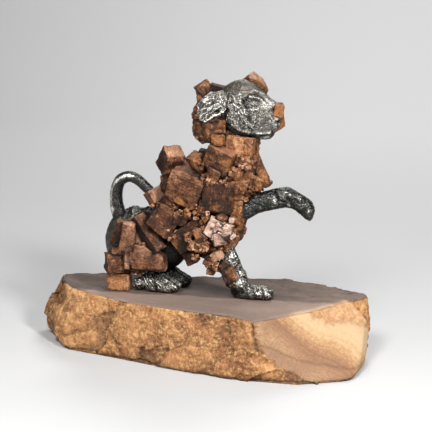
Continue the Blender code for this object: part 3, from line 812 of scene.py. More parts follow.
def paint(points, normals, look, seed, lift=0.0, edge=9.0, gap=9.0, run=0.0, lined=0.0):
    # rust and dust by noise, spots and the crystal's own bias, with painted light where faces turn up; grime by
    # noise, with painted shade where the surface is low, near a neighbour or faces down; light by noise, with
    # painted light and shade by height and facing
    ragged = softNoise(points, 3, 64)
    noisy = 0.75 * softNoise(points, 13, 61) + 0.25 * softNoise(points, 3.2, 62)
    fleck = softNoise(points, 1.7, 63)
    rust = 0.75 * ease(0.28, 0.75, noisy + look.get("rust", 0) * 0.8 + 0.12 * fleck)
    rust = rust * (0.6 + 0.4 * ease(-0.4, 0.4, fleck))
    for middle, reach, strength in rustSpots:
        rust = np.maximum(rust, strength * (1 - ease(0.6, 0.95, away(points, middle) / reach + 0.4 * ragged)))
    wear = (1 - ease(0.2, 1.1, edge)) * ease(-0.25, 0.35, softNoise(points, 4, 65))
    dustAndTopLight = look.get("pale", 0) * (0.7 + 0.5 * softNoise(points, 6, 66))
    # up-facing faces paler: dust, and painted light on the tops
    dustAndTopLight = dustAndTopLight + 0.6 * ease(0.3, 0.85, normals[:, 2]) * ease(-0.7, 0.4, softNoise(points, 5, 67))
    # painted shade: darker where the surface is low, where it faces down and near a neighbouring block; the rest
    # is grime by noise
    grimeAndShade = ease(0.1, 0.8, -lift) * 0.7 + 0.3 * ease(0.25, 0.8, softNoise(points, 6, 68))
    grimeAndShade = grimeAndShade + 0.3 * np.clip(-normals[:, 2], 0, 1)
    grimeAndShade = grimeAndShade + 0.85 * bell(np.maximum(gap, 0), 1.2, 1.5) + 0.4 * np.exp(-np.maximum(gap, 0) / 3.0)
    for middle, reach in shadeSpots:
        grimeAndShade = np.maximum(grimeAndShade, 1 - ease(0.5, 1.0, away(points, middle) / reach + 0.3 * ragged))
    # painted light and shade: higher points lighter, faces turned to the left darker and faces turned up lighter
    light = look.get("light", 0) + 0.5 * softNoise(points, 14, 69 + seed) + 0.3 * lift
    light = light - 0.75 * ease(0.2, 0.8, -normals[:, 0]) + 0.3 * ease(0.4, 0.9, normals[:, 2])
    for middle, reach, strength in brightSpots:
        light = light + strength * (1 - ease(0.5, 1.0, away(points, middle) / reach))
    return dict(rust=rust, pale=np.clip((dustAndTopLight + 0.35 * wear) * (1 - 0.7 * rust), 0, 1),
                grimeAndShade=np.clip(grimeAndShade, 0, 0.95), light=light, run=run + 0 * light, lined=lined + 0 * light)


def tileNoise(along, across, seed):
    # oblong tiles, each at its own height: growth steps cut off square
    spots = np.stack([along / 4.6 + 0.5 * np.floor(across / 3.4), across / 3.4, 0 * along], 1)
    bits = latticeBits(np.floor(spots).astype(np.int64), seed)
    return (bits & 255) / 127.5 - 1


def cutBack(points, facing, depth):
    # what lies beyond a plane is drawn straight back to it, towards the middle
    over = points @ facing
    cut = over > depth
    points[cut] *= (depth[cut] / over[cut])[:, None]


def growthRelief(local, place, unit, edge, shape, draw, seed):
    # growth steps follow the distance from the edges, one face raised or sunk differently from the next;
    # tiles and fine parallel lines follow each face; pits and nibbled edges take a little away
    rows, mainAxis = np.arange(len(unit)), np.argmax(np.abs(unit), 1)
    face = mainAxis * 2 + (unit[rows, mainAxis] > 0)
    faceStep = draw.uniform(-0.9, 1.3, 6)[face]
    count = (edge + 1.8 * softNoise(place, 9, seed)
             + 0.8 * softNoise(place, 3, seed + 1)) / shape["stepWidth"]
    count = np.clip(count, 0, 3.2)
    stairs = np.floor(count) + ease(0.8, 1.0, count - np.floor(count))
    lift = shape["steps"] * faceStep * stairs * ease(-0.2, 0.3, softNoise(place, 12, seed + 2) + 0.1)
    turned = draw.integers(0, 2, 6)[face] > 0
    one, two = local[rows, (mainAxis + 1) % 3], local[rows, (mainAxis + 2) % 3]
    along, across = np.where(turned, one, two) + 20 * face, np.where(turned, two, one)
    bend = 0.9 * softNoise(place, 5, seed + 3)
    tiled = tileNoise(along + bend, across + bend, seed) * ease(-0.1, 0.25, softNoise(place, 9, seed + 5))
    lift += shape["tiles"] * tiled
    waves = np.sin(across * 2 * math.pi / 1.5 + 2 * bend)
    lift += shape["lines"] * waves * ease(-0.3, 0.3, softNoise(place, 8, seed + 6))
    lift += shape["rough"] * (layeredNoise(place, 4, 3, seed + 4) * 1.4)
    near, _, _, kind = cellNoise(place, 3.1, seed + 6)
    pitted = (1 - ease(0.1, 0.4, near)) * ((kind & 15) < 5) * ease(0.05, 0.3, softNoise(place, 8, seed + 7))
    lift -= shape["pit"] * pitted
    bite = (0.6 + facetNoise(place, 2.6, seed + 7)[0]) * ease(0.0, 0.35, softNoise(place, 5, seed + 7))
    lift -= shape["nibble"] * (1 - ease(0.2, 1.7, edge)) * bite
    return lift, face, across + 0.4 * bend + 31 * face


def blockSurface(block, look, seed):
    # a box with corners shifted a little: the nearest point of the inner box plus the edge radius along the
    # way out. Relief moves points along that way; corners are broken off along planes.
    middle, size, turn = block
    shape = {**blockShape, **look}
    half = np.array(size, float) / 2 * shape["grow"]
    draw = np.random.default_rng(seed)
    unit, quads = boxGrid(np.maximum(5, np.round(half * 2 / shape["spacing"])))
    unit = 0.55 * unit + 0.45 * unit * (1.5 - 0.5 * unit ** 2)
    edgeRound = min(shape["edge"], half.min() * 0.3)
    scaleDown = min(1, half.min() / 7)
    corners = draw.uniform(-1, 1, (2, 2, 2, 3)) * shape["wonk"] * scaleDown
    share = (unit + 1) / 2
    drift = np.zeros_like(unit)
    for corner in product((0, 1), repeat=3):
        drift += np.prod(np.where(np.array(corner), share, 1 - share), 1)[:, None] * corners[corner]
    flat = unit * half
    inner = np.clip(flat, -(half - edgeRound), half - edgeRound)
    way = oneLong(flat - inner)
    local = inner + way * edgeRound + drift
    edge = np.sort(half - np.abs(flat), axis=1)[:, 1]
    axes = spin(*turn)
    place = local @ axes.T + middle
    lift, face, run = growthRelief(local, place, unit, edge, shape, draw, seed)
    lift *= 0.4 + 0.6 * scaleDown
    local = local + way * lift[:, None]
    # broken corners, and edges where one part of the corner's direction is small
    for _ in range(int(shape["chips"])):
        corner = draw.choice((-1, 1), 3).astype(float)
        if draw.random() < 0.5:
            corner[draw.integers(3)] = draw.uniform(-0.5, 0.5)
        facing = oneLong(corner * draw.uniform(0.6, 1.2, 3))
        bitten = draw.uniform(0.3, 1.0) * shape["chipDepth"] * (0.5 + 0.5 * scaleDown)
        depth = np.abs(corner * half) @ np.abs(facing) - bitten
        cutBack(local, facing, depth + 0.4 * softNoise(place, 3, seed + 20))
    ray = local @ axes.T
    for spot, facing in shape.get("cuts", ()):
        facing = oneLong(np.array(facing, float))
        cutBack(ray, facing,
                (np.array(spot, float) - middle) @ facing + 0.35 * softNoise(place, 4, seed + 21))
    tone = draw.uniform(-0.28, 0.28, 6)[face]
    lined = draw.choice((0.2, 0.6, 1.0, 1.3), 6)[face] * ease(-0.6, 0.2, softNoise(place, 9, seed + 22))
    return ray + middle, quads, tone, dict(lift=lift, edge=edge, run=run, lined=lined)


def tuckIn(points, middle, neighbours, tuck):
    # where a point lies inside an earlier block, it slides towards its own middle until it leaves that block
    for place, size, turn in neighbours:
        axes = spin(*turn)
        half = np.array(size, float) / 2 - tuck
        start = (middle - place) @ axes
        way = (points - middle) @ axes
        inside = np.all(np.abs(start + way) < half, 1)
        if not inside.any() or np.all(np.abs(start) < half):
            continue
        with np.errstate(divide="ignore", invalid="ignore"):
            one, two = (-half - start) / way, (half - start) / way
        enter = np.nanmax(np.where(np.isfinite(one), np.minimum(one, two), -np.inf), 1)
        share = np.where(inside & (enter > 0.05), np.minimum(enter, 1), 1)
        points = middle + (points - middle) * share[:, None]
    return points


def cubelets(middles, sides, turns, seed):
    # many small chipped cubes at once: one shared box grid, sized, turned and moved as whole arrays
    unit, quads = boxGrid((3, 3, 3))
    squeeze = np.sign(unit) * np.where(np.abs(unit) < 0.5, 0.8, 1.0)
    third = np.sort(np.abs(squeeze), 1)[:, 1:2]
    base = squeeze * np.where(third > 0.9, 0.96, 1.0) * 0.5
    draw = np.random.default_rng(seed)
    shapes = base[None] * sides[:, None, :] * (1 + draw.uniform(-0.05, 0.05, (len(middles), len(base), 1)))
    points = np.einsum("nij,nvj->nvi", turns, shapes) + middles[:, None, :]
    count = len(base)
    allQuads = (quads[None] + (np.arange(len(middles)) * count)[:, None, None]).reshape(-1, 4)
    return points.reshape(-1, 3), allQuads, np.repeat(np.arange(len(middles)), count)


def smallTurns(count, axes, jitter, draw):
    # turn matrices close to the given axes: small random angles about x, y and z
    turns = axes
    for axis, angle in enumerate(np.radians(draw.normal(0, jitter, (3, count)))):
        one, two = (axis + 1) % 3, (axis + 2) % 3
        turn = np.tile(np.eye(3), (count, 1, 1))
        turn[:, one, one] = turn[:, two, two] = np.cos(angle)
        turn[:, one, two], turn[:, two, one] = -np.sin(angle), np.sin(angle)
        turns = turns @ turn
    return turns


def clusterShell(blocks, look, seed):
    # small cubes strewn over the blocks' outer faces, sunk by most of their size
    draw = np.random.default_rng(seed)
    middles, turns, sides = [], [], []
    least, most = look["side"]
    for middle, size, turn in blocks:
        count = max(6, int(look["count"] / len(blocks)))
        axes = spin(*turn)
        spot = draw.uniform(-1, 1, (count * 3, 3))
        spot /= np.abs(spot).max(1, keepdims=True)
        spot = spot[(spot @ axes.T)[:, 1] < 0.35][:count]
        side = draw.uniform(0, 1, (len(spot), 1)) ** 2 * (most - least) + least
        sides.append(side * draw.uniform(0.7, 1.3, (len(spot), 3)))
        middles.append((spot * (np.array(size) / 2 - side * look.get("sunk", 0.25))) @ axes.T + middle)
        turns.append(smallTurns(len(spot), axes, look["jitter"], draw))
    middles, sides, turns = np.concatenate(middles), np.concatenate(sides), np.concatenate(turns)
    points, quads, owner = cubelets(middles, sides, turns, seed)
    tone = draw.uniform(-1, 1, len(middles))[owner]
    marks = paint(points, surfaceNormals(points, quads), look, seed)
    marks["light"] += 0.9 * tone
    marks["grimeAndShade"] = marks["grimeAndShade"] * 0.3 + 0.7 * (tone < -0.5)
    marks["rust"] *= tone < 0.75
    return dict(points=points, quads=quads, marks=marks, flat=True)


def buildCrystals():
    every = {**crystals, **clusters}
    allBlocks = [block for *blocks, _ in every.values() for block in blocks]
    earlier, worst, faceCount = [], 0, 0
    for number, (name, (*blocks, look)) in enumerate(every.items()):
        shells = []
        for part, block in enumerate(blocks):
            seed = 100 + number * 7 + part
            points, quads, tone, relief = blockSurface(block, look, seed)
            nearby = [other for other in earlier + blocks[:part] if nearTo(block, other)]
            points = tuckIn(points, np.array(block[0], float), nearby, blockShape["tuck"])
            gap = np.full(len(points), 9.0)
            for other in allBlocks:
                if other is not block and nearTo(block, other, 3):
                    gap = np.minimum(gap, boxGap(points, other))
            marks = paint(points, surfaceNormals(points, quads), look, seed, gap=gap, **relief)
            marks["light"] += tone
            shells.append(dict(points=points, quads=quads, marks=marks))
        if "count" in look:
            shells.append(clusterShell(blocks, look, 900 + number))
        pale = name in ("pale_crystals", "bright_crystal")
        finish, slot = (paleCrystal, "pale_crystal") if pale else (limonite, "limonite")
        made = addPiece(name + "_grown", shells, finish, name)
        low, high = (np.array(corner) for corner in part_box(name))
        worst = max(worst, (low - made.min(0)).max(), (made.max(0) - high).max())
        faceCount += 2 * sum(len(shell["quads"]) for shell in shells)
        earlier += blocks
    past = "furthest past its frame node: %.1f mm," % (worst * 1000)
    print("crystals grown:", len(every), past, faceCount, "triangles")


buildCrystals()


# The rock that holds neck, chest and belly together: a union of ellipsoids, given as middle, half sizes and
# roll.
rock = dict(
    centre=(12, -1, 100), count=84, relax=3, facet=(13, 2.0), small=(4.6, 0.9), rough=0.5,
    balls=(
        ((24, 3, 141), (17, 15, 22), 0), ((25, 5, 117), (19, 14, 22), 10), ((30, 5, 104), (17, 13, 14), 0),
        ((16, -6, 137), (12, 9, 22), 0), ((12, -6, 112), (16, 10, 20), 0), ((9, -5, 88), (13, 11, 18), 0),
        ((0, 0, 104), (30, 12, 24), 0), ((-26, 0, 92), (26, 12, 22), -20), ((-20, 0, 66), (28, 12, 20), 10),
        ((13, 1, 70), (18, 12, 24), 10), ((10, -5, 50), (14, 12, 16), 10), ((-4, -4, 50), (18, 11, 18), 0)),
    look=dict(rust=0.35, light=0.3))
# blocks half grown out of the rock: neck front, neck side, chest plate, chest lump, breast edge, lower breast
rockBlocks = (
    ((25.5, -2, 137.5), (29, 22, 27), (-5, 0, -12)),
    ((27, -2, 119), (26, 20, 26), (-12, 0, -8)), ((44, 1, 119), (8, 17, 31), (24, 0, 8)),
    ((22, -13, 117), (12, 9, 13), (-22, 0, 15)),
    ((39, 2, 109), (18, 18, 13), (-14, 0, 0)), ((50, 3, 107), (10, 9, 4), (-3, 0, 10)),
    ((25, -13, 103), (15, 9, 17), (-8, 0, 5)), ((24, -10, 84), (11, 12, 26), (-4, 0, 0)),
    ((23.5, -4, 68), (15, 14, 22), (-16, 0, 10)), ((17.5, -7, 54), (14, 13, 15), (-24, 0, 0)),
    ((17.8, -18.5, 54), (7, 9, 15), (-24, 0, 8)))
rockBlockLook = dict(rough=0.6, nibble=1.6, chips=7, chipDepth=3.0, tiles=0.6)
# small cubes strewn at random, then heaps of them: middle, spread, count
rockBits = dict(count=150, side=(1.2, 3.4), jitter=25, seed=77)
brightBits = (((30, -17, 129), (7, 3, 7), 22), ((21, -19, 122), (3, 2, 3), 8),
              ((20, -18, 119), (7, 3, 5), 16), ((-6, -22, 100), (4, 3, 6), 14),
              ((-2, -22, 111), (5, 3, 4), 12), ((0, -18, 42), (6, 3, 8), 16))
crumbs = (((-16, -27, 83), (6, 2, 7), 16), ((-7, -18, 126), (4, 4, 5), 10), ((-31, -23, 84), (5, 2, 5), 10),
          ((-35, -25, 60), (4, 2, 6), 10),
          ((9, -26, 111), (10, 2, 3), 16), ((29, -15, 101), (5, 3, 10), 14), ((-50, -20, 86), (5, 3, 4), 8),
          ((-4, -25, 71), (4, 2, 4), 8),
          ((-64, -24, 46), (3, 2, 6), 8), ((-12, -24, 42), (4, 3, 4), 8), ((12, -22, 50), (5, 3, 4), 10),
          ((-74, -10, 19.5), (8, 5, 2.6), 30))


def rockBody():
    # ellipsoids round the neck, chest and belly, broken into flat facets
    points, quads, normals = ballBody(rock["centre"], rock["balls"], rock["count"], 1.2, rock["relax"])
    facet, _ = facetNoise(warpNoise(points, 12, 3, 40), rock["facet"][0], 41)
    little, crack = facetNoise(warpNoise(points, 5, 1.2, 42), rock["small"][0], 43)
    lift = (rock["facet"][1] * facet + rock["small"][1] * little
            + rock["rough"] * layeredNoise(points, 3.5, 3, 44))
    lift -= 0.5 * (1 - ease(0.02, 0.12, crack))
    points = points + normals * lift[:, None]
    marks = paint(points, surfaceNormals(points, quads), rock["look"], 45, lift * 0.6)
    return dict(points=points, quads=quads, marks=marks)


def rockCubes(shells):
    # small cubes on the rock's right and front, and heaps of them at named places
    draw = np.random.default_rng(rockBits["seed"])
    base = np.concatenate([s["points"] for s in shells])
    facing = np.concatenate([surfaceNormals(s["points"], s["quads"]) for s in shells])
    choice = np.flatnonzero((facing[:, 1] < -0.3) & (base[:, 0] > 2) & (base[:, 0] < 42) & (base[:, 2] < 140))
    choice = draw.choice(choice, rockBits["count"], replace=False)
    least, most = rockBits["side"]
    side = draw.uniform(0, 1, (len(choice), 1)) ** 2 * (most - least) + least
    middles, sides = ([base[choice] - facing[choice] * side * 0.15],
                      [side * draw.uniform(0.8, 1.2, (len(choice), 3))])
    tones = [draw.uniform(-0.5, 0.5, len(choice))]
    for group, dark, bright in ((brightBits, 0.0, 0.9), (crumbs, -0.6, 0.6)):
        for middle, spread, count in group:
            middles.append(np.array(middle) + draw.uniform(-1, 1, (count, 3)) * spread)
            sides.append(draw.uniform(1.4, 3.4, (count, 1)) * draw.uniform(0.8, 1.25, (count, 3)))
            tones.append(draw.uniform(dark, bright, count))
    middles, sides, tones = np.concatenate(middles), np.concatenate(sides), np.concatenate(tones)
    turns = smallTurns(len(middles), spin(-15, 5, 12), rockBits["jitter"], draw)
    points, quads, owner = cubelets(middles, sides, turns, 78)
    marks = paint(points, surfaceNormals(points, quads), rock["look"], 79)
    marks["light"] += 0.7 * tones[owner]
    marks["pale"] = np.clip(marks["pale"] + 0.4 * np.clip(tones[owner], 0, 1), 0, 1)
    return dict(points=points, quads=quads, marks=marks, flat=True)


def buildRock():
    shells = [rockBody()]
    for number, block in enumerate(rockBlocks):
        # the first, at the front of the neck, is rustier and lighter than the others
        look = dict(rockBlockLook, rust=0.42 if number else 0.9, light=0.35 if number else 0.9)
        points, quads, _, relief = blockSurface(block, look, 500 + number * 9)
        normals = surfaceNormals(points, quads)
        marks = paint(points, normals, look, 46 + number, relief["lift"], relief["edge"])
        # painted shade: faces turned forward darker
        marks["light"] -= 0.6 * ease(0.3, 0.8, normals[:, 0])
        shells.append(dict(points=points, quads=quads, marks=marks))
    addPiece("chest_rock_grown", shells + [rockCubes(shells)], limonite, "chest_rock")
    print("rock grown")


buildRock()


# Castings: hammered metal with strands of fur, and features drawn in side view.


def strands(points, size, seed):
    # narrow winding crests of warped noise, like short curled fur run into each other: about -0.5..0.5
    bent = warpNoise(points, size * 2.2, size * 0.7, seed)
    return ease(0.35, 0.95, ridgeNoise(bent, size, 2, seed + 5)) - 0.45


def metalMarks(lift, crest, patinaAndShade, olive):
    # height is 0.5 on the plain surface; patina, which also holds painted shade, and olive are shares
    count = np.ones(len(lift))
    return dict(height=np.clip(0.5 + lift / crest, 0, 1), patinaAndShade=np.clip(patinaAndShade * count, 0, 1),
                olive=np.clip(olive * count, 0, 1))


head = dict(
    centre=(34, 175), middle=-3, count=106, fullness=2.5,
    # side view, round from the nape over the crown, nose, chin and throat
    outline=((7, 191), (11, 195.5), (21, 201.5), (29, 202.6), (38, 200), (45, 193.5), (49.5, 189),
             (53.5, 186), (59, 182), (59.6, 180.2), (56.4, 177), (57.2, 173.8), (59.3, 170.8), (61.4, 168),
             (62.4, 165.2), (62, 162), (60.6, 159), (58, 155.4), (56.2, 151.6), (53.4, 149.2), (45, 148.6),
             (41, 149), (37, 150), (31, 151.2), (25, 151.5), (20, 152.2), (15.3, 154.4), (11.8, 158),
             (10, 164), (8, 172), (7, 182)),
    # half width by how far forward
    width=((4, 14), (14, 18), (28, 18.5), (38, 16.5), (46, 13.5), (53, 11), (58, 8.5), (63, 6.5)),
    lipHeight=((12, 166.3), (18, 164.4), (22, 162.6), (25, 160.2), (30, 157.9), (36, 156.5), (45.6, 155.4),
               (52, 155.2), (57, 156), (61, 158)),
    jawDrop=2.2,
    # crests and grooves on both sides, in side view: (path, width, height, brightness); positive brightness is
    # painted highlight
    lines=(
        (((26, 193.2), (30, 192.8), (35.2, 193.6), (39, 193.8)), 1.2, 0.7, 0.15),
        (((38, 193.9), (41, 193.5), (44, 192.6), (48, 189.6), (50.4, 186)), 0.8, 1.0, 0.3),
        (((35, 191.2), (39, 191.2), (43, 190.4), (46.6, 188), (48.6, 185.2)), 0.7, -1.0, -0.6),
        (((36, 188.9), (39.5, 188.8), (43.6, 187.8), (46.9, 185.4), (48.8, 183)), 0.6, 1.0, 0.7),
        (((37, 184.8), (39.5, 186.4), (42.8, 186), (45.4, 183.8)), 0.5, -0.8, -0.45),
        (((37.4, 182.8), (40, 180.9), (43.2, 180.7), (45.4, 182.3)), 0.5, -0.7, -0.35),
        (((37, 177.8), (40, 177.2), (44, 177.6)), 1.2, 0.6, 0.3),
        (((26.8, 189), (28.8, 183.5), (31, 178), (34, 173.4)), 1.1, 0.9, 0.35),
        (((31, 187.5), (32.3, 183), (34.5, 178.6)), 1.2, -0.9, -0.5),
        (((20.5, 163.4), (23, 161.8), (25.5, 160), (30, 158), (35, 157.2)), 1.1, 1.2, 0.3),
        (((35, 157.2), (39, 156.4), (43, 156)), 1.0, 1.0, -0.1),
        (((43, 156), (47.7, 155.6), (54.3, 155.8)), 1.0, 1.2, 0.35),
        (((14, 163.5), (18, 161.4), (23, 158.6), (28, 156), (34, 154.6), (40, 153.8), (46, 153.4),
          (54, 153.2)), 1.2, -1.4, -1.2),
        (((45, 151.2), (49, 151.2), (53, 151.6)), 0.8, 0.9, 0.5),
        (((55.6, 149.4), (55.6, 156.6)), 0.7, -1.3, -1.0),
        (((15.4, 177), (13.5, 172), (13, 164)), 1.4, -1.8, -1.2),
        (((16, 191), (15.6, 185), (15.4, 179)), 0.8, -0.8, -0.6),
        (((54, 172), (56, 167), (57, 162)), 0.9, 0.7, 0.4),
        (((60.2, 164), (60.4, 160.6)), 0.6, -1.0, -0.8)),
    # round bumps and hollows: (place, reach, height, brightness); positive brightness is painted highlight, as
    # on the nose
    bumps=(((39.5, 185.4), 4.8, -0.9, -0.1), ((34, 186), 3.2, -0.7, -0.35), ((41.3, 183.5), 1.9, 0.9, 0.15),
           ((42.4, 184.4), 0.5, 0.1, 0.35), ((29.3, 173.8), 1.6, 1.0, 0.3), ((29.3, 173.8), 0.7, -1.2, -0.8),
           ((60, 168.6), 1.5, 0.8, 1.3), ((59.6, 163), 1.4, 0.5, 1.1), ((61, 165.8), 0.9, -1.8, -2.2),
           ((47.6, 168.4), 1.5, 0.7, 0.4), ((53.6, 166), 1.4, 0.6, 0.5)))
ear = dict(
    centre=(3, 180.5), side=-18.5, thick=2.0, count=60,
    # two oblong hollows: middle, the rows that turn them, how much longer than wide, width
    hollows=(((6.5, 175.8), ((0.8, -0.6), (0.6, 0.8)), 0.55, 1.3),
             ((4, 183.5), ((0.75, -0.66), (0.66, 0.75)), 0.35, 1.2)),
    outline=((18, 189), (17.5, 182), (15.2, 177.4), (11.8, 174.9), (7.9, 172.8), (3.5, 171.7), (-1.4, 167.7),
             (-3.9, 165.6), (-7.8, 167), (-10.3, 170.8), (-11.5, 176.2), (-11.2, 179.6), (-7.8, 184.5),
             (-3.3, 189), (0.8, 191), (6.5, 192.6), (13, 193.4)))


def sideLines(spots, lines, bumps):
    # how high and how bright the drawn crests, grooves and bumps make each spot of the side view; the brightness
    # goes into the colour, and where it is positive it is painted highlight
    lift, bright = np.zeros(len(spots)), np.zeros(len(spots))
    shares = [(bell(lineDistance(spots, smoothPath(path, 14)), width), *rest) for path, width, *rest in lines]
    shares += [(bell(away(spots, place), reach), *rest) for place, reach, *rest in bumps]
    for share, height, tone in shares:
        lift, bright = lift + height * share, bright + tone * share
    return lift, bright


def outlineReach(angle, outline, centre):
    # how far the outline is from its centre at each angle
    corners = np.array(outline, float) - centre
    bend = np.arctan2(corners[:, 1], corners[:, 0])
    order = np.argsort(bend)
    return np.interp(angle, bend[order], np.linalg.norm(corners, axis=1)[order], period=2 * math.pi)


def skullShell():
    # skull, muzzle and jaw swell from the side outline to a half width by a superellipse; the face is drawn
    # on both sides
    rays, quads = roundGrid(head["count"])
    power = 2 / head["fullness"]
    angle, inPlane = np.arctan2(rays[:, 2], rays[:, 0]), np.hypot(rays[:, 0], rays[:, 2])
    out = outlineReach(angle, head["outline"], head["centre"]) * inPlane ** power
    u, w = head["centre"][0] + np.cos(angle) * out, head["centre"][1] + np.sin(angle) * out
    below = readTable(u, head["lipHeight"]) - w
    wide = readTable(u, head["width"]) * (1 - 0.12 * ease(188, 202, w))
    wide = wide - head["jawDrop"] * ease(-0.3, 1.8, below) - 1.0 * ease(2, 9, below)
    v = head["middle"] + wide * np.sign(rays[:, 1]) * np.abs(rays[:, 1]) ** power
    points = relax(np.stack([u, v, w], 1), quads, 2)
    normals = surfaceNormals(points, quads)
    x, z, spots = points[:, 0], points[:, 2], points[:, [0, 2]]
    sideways = np.maximum(ease(0.08, 0.5, np.abs(normals[:, 1])), ease(55, 58, x) * (z < 172))
    face, bright = (drawn * sideways for drawn in sideLines(spots, head["lines"], head["bumps"]))
    # the fur is calm on the crown and the bridge of the nose, and weak by the eye, the lip and the jaw
    bridge = bell(np.linalg.norm((spots - (54, 180)) / (9, 6), axis=1), 1)
    smoothTop = ease(189, 195, z + 0.35 * np.clip(x - 38, 0, 30) + 1.5 * softNoise(points, 6, 31))
    calm = np.clip(smoothTop + 0.6 * bridge, 0, 1)
    muzzle, eye = ease(38, 48, x), bell(away(spots, (42, 185)), 5.5, 4)
    lipGap = readTable(x, head["lipHeight"]) - z
    under = ease(0, 2.5, lipGap)
    coarse = strands(points @ spin(-50, 0, 0) * (0.5, 1, 1), 2.3, 30)
    fine = strands(points, 1.35, 34)
    streaks = softNoise(points @ spin(-35, 0, 0) * (0.25, 1, 1), 1.2, 38)
    fur = (0.8 * coarse * (1 - calm) * (1 - 0.5 * muzzle) + 0.65 * fine * (1 - 0.7 * calm)
           + 0.42 * streaks * calm)
    fur = fur * (1 - 0.75 * eye) * (1 - 0.6 * under) * (1 - 0.65 * bell(lipGap, 2.2))
    points = points + normals * (face + fur)[:, None]
    chin, snout = ease(42, 51, points[:, 0]), ease(42, 50, points[:, 0])
    height = fur * (1 - 0.25 * muzzle) + (0.8 + 0.5 * fine) * bright + 0.4 * bridge - 0.06 * (1 - calm)
    # painted shade: the jaw below the lip line darkened, less towards the chin
    patinaAndShade = 0.72 * under * (1 - 0.75 * chin) * (1 - np.clip(bright, 0, 1))
    olive = np.clip((0.9 - 0.6 * snout) * calm + 0.7 * under * chin, 0, 1) * (1 - np.clip(bright * 2, 0, 1))
    return dict(points=points, quads=quads, marks=metalMarks(height, 1.55, patinaAndShade, olive))


def earShell():
    # a lens whose reach in side view follows the outline by its angle; its front and top edges lean into the
    # head
    rays, quads = roundGrid(ear["count"])
    angle = np.arctan2(rays[:, 2], rays[:, 0])
    out = np.hypot(rays[:, 0], rays[:, 2]) ** 0.8
    reach = outlineReach(angle, ear["outline"], ear["centre"]) * out
    x, z = (np.stack([np.cos(angle), np.sin(angle)], 1) * reach[:, None] + ear["centre"]).T
    bow = ear["side"] - 2.0 * (1 - ((x - 3) / 15) ** 2) + 4.6 * ease(9, 16, x) * ease(174, 180, z)
    bow = bow + 7.5 * ease(183, 195, z + 0.25 * x)
    points = np.stack([x, bow + ear["thick"] * np.sign(rays[:, 1]) * np.abs(rays[:, 1]) ** 0.7, z], 1)
    normals, spots = surfaceNormals(points, quads), points[:, [0, 2]]
    rim = bell(out - 0.95, 0.04) * ease(-7, 0, x) * ease(180, 175, z) * (1 - ease(12, 15, x))
    hole, slit = (bell(np.linalg.norm((spots - place) @ np.array(turn) * (length, 1), axis=1), width)
                  for place, turn, length, width in ear["hollows"])
    strand, fine = strands(points @ spin(40, 0, 0) * (0.36, 1, 1.1), 2.6, 50), strands(points, 1.4, 53)
    fur = (0.85 * strand + 0.5 * fine) * (1 - 0.6 * ease(188, 192, z))
    points = points + normals * (fur + 0.6 * rim - 1.2 * hole - 1.0 * slit)[:, None]
    height = fur + 0.9 * rim - 1.5 * hole - 1.4 * slit + 0.12
    return dict(points=points, quads=quads, marks=metalMarks(height, 1.7, 0.0, 0.55 * ease(187, 191, z)))


def buildHead():
    addPiece("head_casting_chased", [skullShell(), earShell()], silver, "head_casting")
    print("head cast")


# each stop of a leg, in side view: front or upper edge, rear or lower edge, then how far to the left and the
# half width; the fur's two sizes, how strong it is, and how its strands run: heading in degrees and stretch
raised = dict(
    along=150, around=104, sizes=(2.6, 1.5), crest=0.5, seed=60, heading=15, stretch=0.55, patinaAndShade=0.86,
    contrast=2.0,
    stops=((24, 91, 24, 71.5, -3, 9.5), (31, 93, 33, 72.8, -3, 9.5), (40, 96.3, 43, 78.8, -2, 9),
           (50, 99.7, 53, 81.6, -1, 8.8), (60, 102.4, 62, 83.6, 0, 8.6), (69.8, 103.2, 69.8, 84.4, 2, 8.4),
           (77.5, 99.2, 75, 83, 3, 8), (85, 94.6, 79.5, 79.5, 4, 7.8), (91.5, 89.6, 83.5, 76, 5, 7.4),
           (94.8, 82, 86.2, 73.6, 5, 6.8), (93.2, 76.6, 89, 72.6, 5, 5)),
    toes=(-1.1, -0.25, 0.6, 1.45),
    lines=((((57.2, 102.3), (61, 97), (62.8, 93.1), (65.5, 91.6), (68.4, 90.4)), 0.9, -1.5, -0.9),
           (((70.6, 95), (73, 91), (76, 87)), 1.0, -1.1, -0.9),
           (((66, 101), (70, 99), (74, 96.6)), 1.0, 0.6, 0.3),
           (((77.4, 94.4), (80.6, 90), (84, 89.6), (86.6, 91)), 0.6, -0.8, -0.7),
           (((35, 93), (44, 88), (52, 86.5)), 0.8, -0.5, -0.4)),
    bumps=(((58.6, 91.4), 2.4, 1.4, 1.1), ((71.4, 88.8), 1.5, 1.1, 0.9), ((72.3, 97.6), 1.3, 0.9, 0.9),
           ((89.6, 82), 1.4, 0.8, 0.9), ((40.4, 97.6), 1.6, 0.5, 0.9), ((80, 94), 2.2, 0.6, 0.5),
           ((66.4, 96), 2.5, 0.8, 0.2)))
